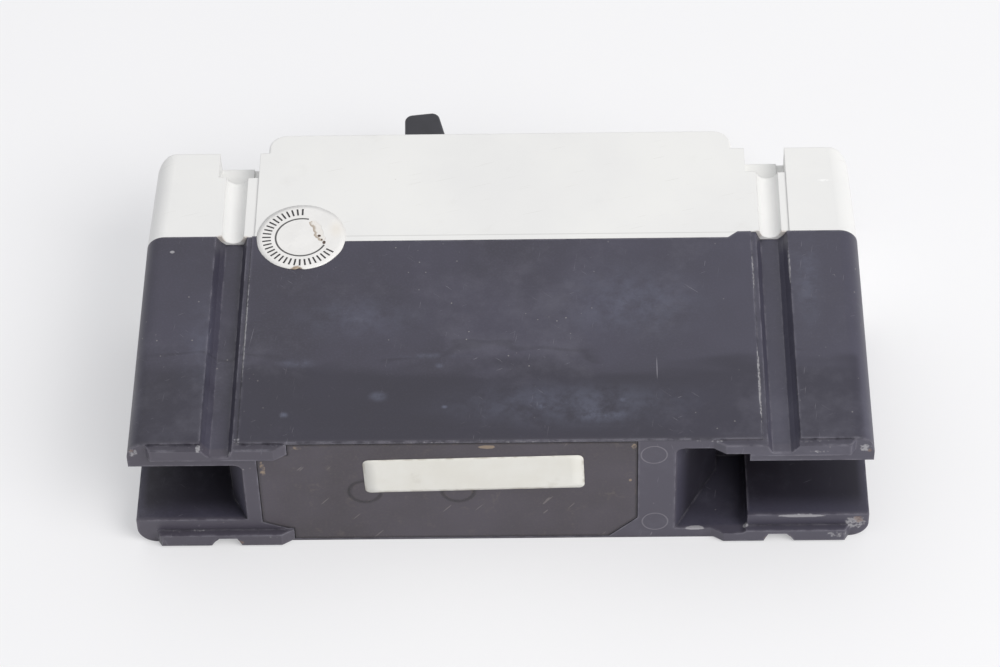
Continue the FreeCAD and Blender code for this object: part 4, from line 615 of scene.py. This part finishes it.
# %% [markdown]
# ## Board, fibre, ferrite and insulation
#
# The remaining inner pieces are not metal. One function makes their simple finishes,
# which differ in colour, in roughness and in how coarse their grain is.

# %% The other inner finishes
def grained(name, dark, light, rough, per_metre):
    """A dull finish with a grain of a given coarseness."""
    material, tree, shader, place = new_finish(name)
    pattern = noise(tree, place, per_metre, 4.0)
    tree.links.new(mixed(tree, between(tree, pattern, 0.35, 0.65), linear(dark), linear(light)),
                   shader.inputs["Base Color"])
    tree.links.new(bumped(tree, pattern, 0.02 * MM, 0.5), shader.inputs["Normal"])
    shader.inputs["Roughness"].default_value = rough
    return material


OTHERS = {
    "fibre": grained("vulcanised_fibre", "7c4a38", "8e5943", 0.6, 900.0),
    "ferrite": grained("black_ferrite", "262628", "333336", 0.5, 1400.0),
    "insulated_wire": grained("white_wire_insulation", "dcd8cf", "e8e5dd", 0.4, 700.0),
    "board": grained("green_board_laminate", "2a5238", "33613f", 0.42, 1200.0),
    "components": grained("dipped_component_coat", "8a5a2c", "9c6a38", 0.38, 600.0),
}
slots = {part["node"]: part["material_slot"] for part in frame["record"]["subparts"]}
for slot_name, material in {**METALS, **OTHERS}.items():
    finish([node for node, slot in slots.items() if slot == slot_name], material)
print("inner finishes:", len(METALS) + len(OTHERS))


# %% [markdown]
# ## Paper stickers
#
# Two paper stickers were put on after assembly: a round seal across the joint of base
# and cover, and a label on the back plate. A sticker is a thin sheet whose edge lifts
# in places and whose face is never quite flat. Each is modelled as rings of points
# from its rim inwards, with a small wave in height, and then given its paper's
# thickness by Solidify.

# %% A sheet of paper from an outline
PAPER = 0.07 * MM


def sticker(name, outline, lift, centre, across, along, outward, material, body):
    """A thin sheet inside an outline of (u, v) points, laid on a face of the case.

    across and along are the face's directions, outward points away from the face and
    lift gives the height of a point over the face.
    """
    mesh = bpy.data.meshes.new(name)
    build = bmesh.new()
    rings = 8
    rows = []
    for ring in range(rings):
        share = 1 - ring / rings
        rows.append([build.verts.new(centre + across * (u * share) + along * (v * share)
                                     + outward * lift(u * share, v * share, share))
                     for u, v in outline])
    middle = build.verts.new(centre + outward * lift(0, 0, 0))
    count = len(outline)
    for outer, inner in zip(rows, rows[1:]):
        for k in range(count):
            after = (k + 1) % count
            build.faces.new((outer[k], outer[after], inner[after], inner[k]))
    for k in range(count):
        build.faces.new((rows[-1][k], rows[-1][(k + 1) % count], middle))
    if across.cross(along).dot(outward) < 0:
        bmesh.ops.reverse_faces(build, faces=build.faces)
    build.to_mesh(mesh)
    build.free()
    piece = bpy.data.objects.new(name, mesh)
    bpy.context.scene.collection.objects.link(piece)
    thick = piece.modifiers.new("paper", "SOLIDIFY")
    thick.thickness = PAPER
    thick.offset = -1
    for face in mesh.polygons:
        face.use_smooth = True
    mesh.materials.append(material)
    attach(piece, body)


# %% [markdown]
# ### The round seal
#
# The seal is a glossy white disc with a thin printed ring, and a band of plain ticks
# between the ring and the rim. Neither goes all the way round. Somebody has picked at
# it: at the ring's right the top layer is torn off, with a brown ragged border, and
# the lower rim is nicked. The tear is drawn in the material, as a stretched blob whose
# border is moved by noise, so that the gloss ends at the same line. The noise also
# moves it all by half its own scale, which the places of the tear and nick allow for.

# %% The seal's paper
SEAL_CENTRE = Vector((-34.75 * MM, 47.0 * MM, SIDE))
SEAL_RADIUS = 7.75 * MM
RING_RADIUS = 4.46 * MM
RING_BARE = (math.radians(-25), math.radians(75))
PRINT_BARE = (math.radians(-27), math.radians(86))

seal_paper, tree, shader, place = new_finish("coated_seal_paper")
local = add(tree, "ShaderNodeVectorMath", {"operation": "SUBTRACT"},
            {0: place, 1: SEAL_CENTRE}).outputs[0]
fibre = noise(tree, place, 900.0, 5.0, 0.7)
ragged = add(tree, "ShaderNodeTexNoise", feeds={
    "Vector": place, "Scale": 520.0, "Detail": 4.0}).outputs["Color"]
shifted = add(tree, "ShaderNodeVectorMath", {"operation": "SCALE"},
              {0: ragged, "Scale": 2.2 * MM}).outputs[0]
torn_place = add(tree, "ShaderNodeVectorMath", {"operation": "ADD"}, {0: local, 1: shifted}).outputs[0]
squeezed = add(tree, "ShaderNodeMapping", {"vector_type": "TEXTURE"}, {
    "Vector": torn_place, "Location": (4.0 * MM, 2.4 * MM, 0.7 * MM),
    "Rotation": (0, 0, math.radians(-64)), "Scale": (2.9 * MM, 0.95 * MM, 6 * MM)}).outputs[0]
blob = add(tree, "ShaderNodeVectorMath", {"operation": "LENGTH"}, {0: squeezed}).outputs["Value"]
torn = between(tree, blob, 1.02, 0.94)
beside = add(tree, "ShaderNodeSeparateXYZ", feeds={0: squeezed}).outputs["Y"]
border = math_step(tree, "MULTIPLY", between(tree, blob, 0.25, 0.7),
                   math_step(tree, "MULTIPLY", between(tree, beside, 0.1, -0.35), torn))
flecks = spots(tree, local, [
    ((3.1, 0.3, 0.0), (0.55, 0.5, 2.0), 1.0),
    ((4.0, -1.3, 0.0), (0.5, 0.7, 2.0), 1.0),
    ((3.6, -0.6, 0.0), (0.3, 0.5, 2.0), 0.8)], 0.3)
flecks = between(tree, math_step(tree, "ADD", flecks, fibre), 1.05, 1.25)
nick_away = add(tree, "ShaderNodeVectorMath", {"operation": "DISTANCE"},
                {0: torn_place, 1: (0.7 * MM, -7.6 * MM, 0.7 * MM)}).outputs["Value"]
nick = between(tree, nick_away, 1.95 * MM, 1.45 * MM)

white = mixed(tree, between(tree, noise(tree, place, 260.0, 3.0), 0.3, 0.7),
              linear("e4e3e1"), linear("eae9e7"))
stain = spots(tree, local, [((6.0, 1.8, 0.0), (1.9, 3.2, 2.0), 0.6)], 0.0)
white = tinted(tree, white, stain, 0.6, "e6dccb")
flat = add(tree, "ShaderNodeVectorMath", {"operation": "MULTIPLY"}, {0: local, 1: (1, 1, 0)}).outputs[0]
away = add(tree, "ShaderNodeVectorMath", {"operation": "LENGTH"}, {0: flat}).outputs["Value"]
off_ring = math_step(tree, "ABSOLUTE", math_step(tree, "SUBTRACT", away, RING_RADIUS))
flat_place = add(tree, "ShaderNodeSeparateXYZ", feeds={0: local}).outputs
bearing = math_step(tree, "ARCTAN2", flat_place["Y"], flat_place["X"])
printed = math_step(tree, "MAXIMUM", math_step(tree, "GREATER_THAN", bearing, RING_BARE[1]),
                    math_step(tree, "LESS_THAN", bearing, RING_BARE[0]))
ring_ink = math_step(tree, "MULTIPLY", between(tree, off_ring, 0.2 * MM, 0.12 * MM), printed)
colour = tinted(tree, white, ring_ink, 0.93, "2a292b")
colour = mixed(tree, torn, colour, mixed(tree, fibre, linear("dcd8d2"), linear("eeece9")))
colour = tinted(tree, colour, border, 0.75, "a1917f")
colour = mixed(tree, flecks, colour, linear("4d3c31"))
colour = mixed(tree, nick, colour, mixed(tree, fibre, linear("5a4334"), linear("c9b9a4")))
tree.links.new(colour, shader.inputs["Base Color"])
rough = add(tree, "ShaderNodeMapRange", feeds={0: torn, 3: 0.34, 4: 0.9}).outputs[0]
tree.links.new(rough, shader.inputs["Roughness"])
height = math_step(tree, "SUBTRACT", math_step(tree, "MULTIPLY", fibre, 0.3), torn)
tree.links.new(bumped(tree, height, 0.05 * MM, 0.8), shader.inputs["Normal"])


# %% The seal
def seal_height(u, v, share):
    """The paper's height: nearly flat, with a rim that lifts at three places."""
    rim = max(0.0, share - 0.8) / 0.2
    wave = math.sin(u / MM * 1.1 + 0.7) * math.sin(v / MM * 0.9 + 1.9)
    lifted_rim = 0.03 * MM * rim * (0.5 + 0.5 * math.sin(math.atan2(v, u) * 3 + 0.5))
    return PAPER + 0.01 * MM * wave + lifted_rim


SEAL_STEPS = 160
seal_outline = []
for step in range(SEAL_STEPS):
    angle = 2 * math.pi * step / SEAL_STEPS
    nicked = 0.35 * MM * math.exp(-((angle - 1.5 * math.pi) / 0.06) ** 2)
    radius = SEAL_RADIUS - nicked + 0.02 * MM * math.sin(angle * 11)
    seal_outline.append((radius * math.cos(angle), radius * math.sin(angle)))
sticker("round_seal", seal_outline, seal_height, SEAL_CENTRE,
        Vector((1, 0, 0)), Vector((0, 1, 0)), Vector((0, 0, 1)), seal_paper, "case")
print("seal radius", SEAL_RADIUS / MM, "mm")

# %% [markdown]
# ### The ticks on the seal
#
# The ticks repeat round a circle, so Geometry Nodes place them: a circle of points,
# one small bar on each, turned outwards. The points on the bare stretch of the circle
# are deleted by their bearing. The tree has named inputs for its sizes, and the result
# is turned into a plain mesh, because the export keeps no modifiers.


# %% The tick tree
def named_input(tree, name, kind, value):
    """An input of a Geometry Nodes tree, with the value it has unless one is set."""
    socket = tree.interface.new_socket(name, in_out="INPUT", socket_type=kind)
    socket.default_value = value


def baked(name, tree, values, body):
    """Runs a Geometry Nodes tree with its inputs set, and keeps the result as a plain mesh."""
    holder = bpy.data.objects.new(name + "_maker", bpy.data.meshes.new(name + "_maker"))
    bpy.context.scene.collection.objects.link(holder)
    maker = holder.modifiers.new("maker", "NODES")
    maker.node_group = tree
    for item in tree.interface.items_tree:
        if item.item_type == "SOCKET" and item.in_out == "INPUT" and item.name in values:
            maker[item.identifier] = values[item.name]
    shown = holder.evaluated_get(bpy.context.evaluated_depsgraph_get())
    mesh = bpy.data.meshes.new_from_object(shown)
    mesh.name = name
    bpy.data.objects.remove(holder)
    piece = bpy.data.objects.new(name, mesh)
    bpy.context.scene.collection.objects.link(piece)
    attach(piece, body)
    return piece


ink, tree, shader, place = new_finish("printing_ink")
tree.links.new(mixed(tree, noise(tree, place, 1500.0, 3.0), linear("232224"), linear("353336")),
               shader.inputs["Base Color"])
shader.inputs["Roughness"].default_value = 0.5

ticks = bpy.data.node_groups.new("seal_ticks", "GeometryNodeTree")
ticks.interface.new_socket("Geometry", in_out="OUTPUT", socket_type="NodeSocketGeometry")
for name, kind, value in (
        ("Count", "NodeSocketInt", 44),
        ("Middle radius", "NodeSocketFloat", 0.006),
        ("Tick length", "NodeSocketFloat", 0.0015),
        ("Tick width", "NodeSocketFloat", 0.0003),
        ("Centre", "NodeSocketVector", (0, 0, 0)),
        ("Bare from", "NodeSocketFloat", -0.5),
        ("Bare to", "NodeSocketFloat", 1.5)):
    named_input(ticks, name, kind, value)
source = add(ticks, "NodeGroupInput").outputs
circle = add(ticks, "GeometryNodeMeshCircle", {"fill_type": "NONE"},
             {"Vertices": source["Count"], "Radius": source["Middle radius"]})
point = add(ticks, "GeometryNodeInputPosition").outputs[0]
flat_place = add(ticks, "ShaderNodeSeparateXYZ", feeds={0: point}).outputs
bearing = math_step(ticks, "ARCTAN2", flat_place["Y"], flat_place["X"])
bare = math_step(ticks, "MULTIPLY", math_step(ticks, "GREATER_THAN", bearing, source["Bare from"]),
                 math_step(ticks, "LESS_THAN", bearing, source["Bare to"]))
arc = add(ticks, "GeometryNodeDeleteGeometry", {"domain": "POINT"}, {0: circle.outputs[0], 1: bare})
bar = add(ticks, "GeometryNodeMeshGrid", feeds={
    "Size X": source["Tick length"], "Size Y": source["Tick width"], "Vertices X": 2, "Vertices Y": 2})
facing = add(ticks, "FunctionNodeAlignRotationToVector", {"axis": "X"}, {"Vector": point}).outputs[0]
spread = add(ticks, "GeometryNodeInstanceOnPoints", feeds={
    "Points": arc.outputs[0], "Instance": bar.outputs[0], "Rotation": facing})
moved = add(ticks, "GeometryNodeTransform", feeds={
    0: spread.outputs[0], "Translation": source["Centre"]})
solid = add(ticks, "GeometryNodeRealizeInstances", feeds={0: moved.outputs[0]})
dressed = add(ticks, "GeometryNodeSetMaterial", feeds={0: solid.outputs[0], "Material": ink})
add(ticks, "NodeGroupOutput", feeds={0: dressed.outputs[0]})

PRINT_LEVEL = PAPER + 0.03 * MM
seal_ticks = baked("seal_ticks", ticks, {
    "Count": 44, "Middle radius": 6.05 * MM, "Tick length": 1.5 * MM, "Tick width": 0.3 * MM,
    "Centre": SEAL_CENTRE + Vector((0, 0, PRINT_LEVEL)),
    "Bare from": PRINT_BARE[0], "Bare to": PRINT_BARE[1]}, "case")
print("ticks:", len(seal_ticks.data.polygons))

# %% [markdown]
# ### The plain label
#
# A small cream label is stuck askew on the back plate, over the tops of both plugs.
# It is left blank here. Its paper is uncoated, slightly yellowed, and dirty along the
# edge where it was handled.

# %% The label
LABEL_CENTRE = Vector((-4.45, 0, 4.4)) * MM
LABEL_SIZE = (36.7 * MM, 8.25 * MM)
LABEL_CORNER = 1.0 * MM
LABEL_TURN = math.radians(1.4)

label_paper, tree, shader, place = new_finish("uncoated_label_paper")
level = add(tree, "ShaderNodeMapping", {"vector_type": "TEXTURE"}, {
    "Vector": place, "Location": LABEL_CENTRE, "Rotation": (0, -LABEL_TURN, 0)}).outputs[0]
parts = add(tree, "ShaderNodeSeparateXYZ", feeds={0: level}).outputs
from_end = math_step(tree, "SUBTRACT", LABEL_SIZE[0] / 2, math_step(tree, "ABSOLUTE", parts["X"]))
from_side = math_step(tree, "SUBTRACT", LABEL_SIZE[1] / 2, math_step(tree, "ABSOLUTE", parts["Z"]))
inside = math_step(tree, "MINIMUM", from_end, from_side)
fibre = noise(tree, place, 1400.0, 5.0, 0.7)
colour = mixed(tree, between(tree, noise(tree, place, 110.0, 4.0), 0.3, 0.7),
               linear("dad8d0"), linear("e0dfd9"))
grime = math_step(tree, "MULTIPLY", between(tree, inside, 0.55 * MM, 0.0),
                  between(tree, noise(tree, place, 500.0, 4.0), 0.4, 0.65))
colour = tinted(tree, colour, grime, 0.6, "a29a8c")
smear = math_step(tree, "MULTIPLY", between(tree, noise(tree, place, 190.0, 5.0, 0.65), 0.58, 0.75), 0.3)
colour = mixed(tree, smear, colour, linear("bdb8ad"))
tree.links.new(colour, shader.inputs["Base Color"])
shader.inputs["Roughness"].default_value = 0.62
tree.links.new(bumped(tree, fibre, 0.015 * MM, 0.6), shader.inputs["Normal"])

label_outline = []
half_u, half_v = LABEL_SIZE[0] / 2, LABEL_SIZE[1] / 2
for corner, (su, sv) in enumerate(((1, 1), (-1, 1), (-1, -1), (1, -1))):
    for step in range(9):
        angle = math.pi / 2 * (corner + step / 8)
        label_outline.append((su * (half_u - LABEL_CORNER) + LABEL_CORNER * math.cos(angle),
                              sv * (half_v - LABEL_CORNER) + LABEL_CORNER * math.sin(angle)))
    if corner % 2 == 0:
        label_outline += [(half_u * su * (1 - k / 12) * 0.94, half_v * sv) for k in range(1, 24)]


def label_height(u, v, share):
    """The paper's height: slightly wavy, with one end that curls."""
    wave = math.sin(u / MM * 0.42 + 0.4) * math.sin(v / MM * 0.8 + 1.1)
    curl = max(0.0, u / half_u - 0.9) * 0.5 * MM
    return PAPER + 0.012 * MM * (1 + wave) + curl * share


turned_across = Vector((math.cos(LABEL_TURN), 0, math.sin(LABEL_TURN)))
turned_along = Vector((-math.sin(LABEL_TURN), 0, math.cos(LABEL_TURN)))
sticker("plate_label", label_outline, label_height, LABEL_CENTRE,
        turned_across, turned_along, Vector((0, -1, 0)), label_paper, "case")
print("label", [round(v / MM, 2) for v in LABEL_SIZE], "mm")
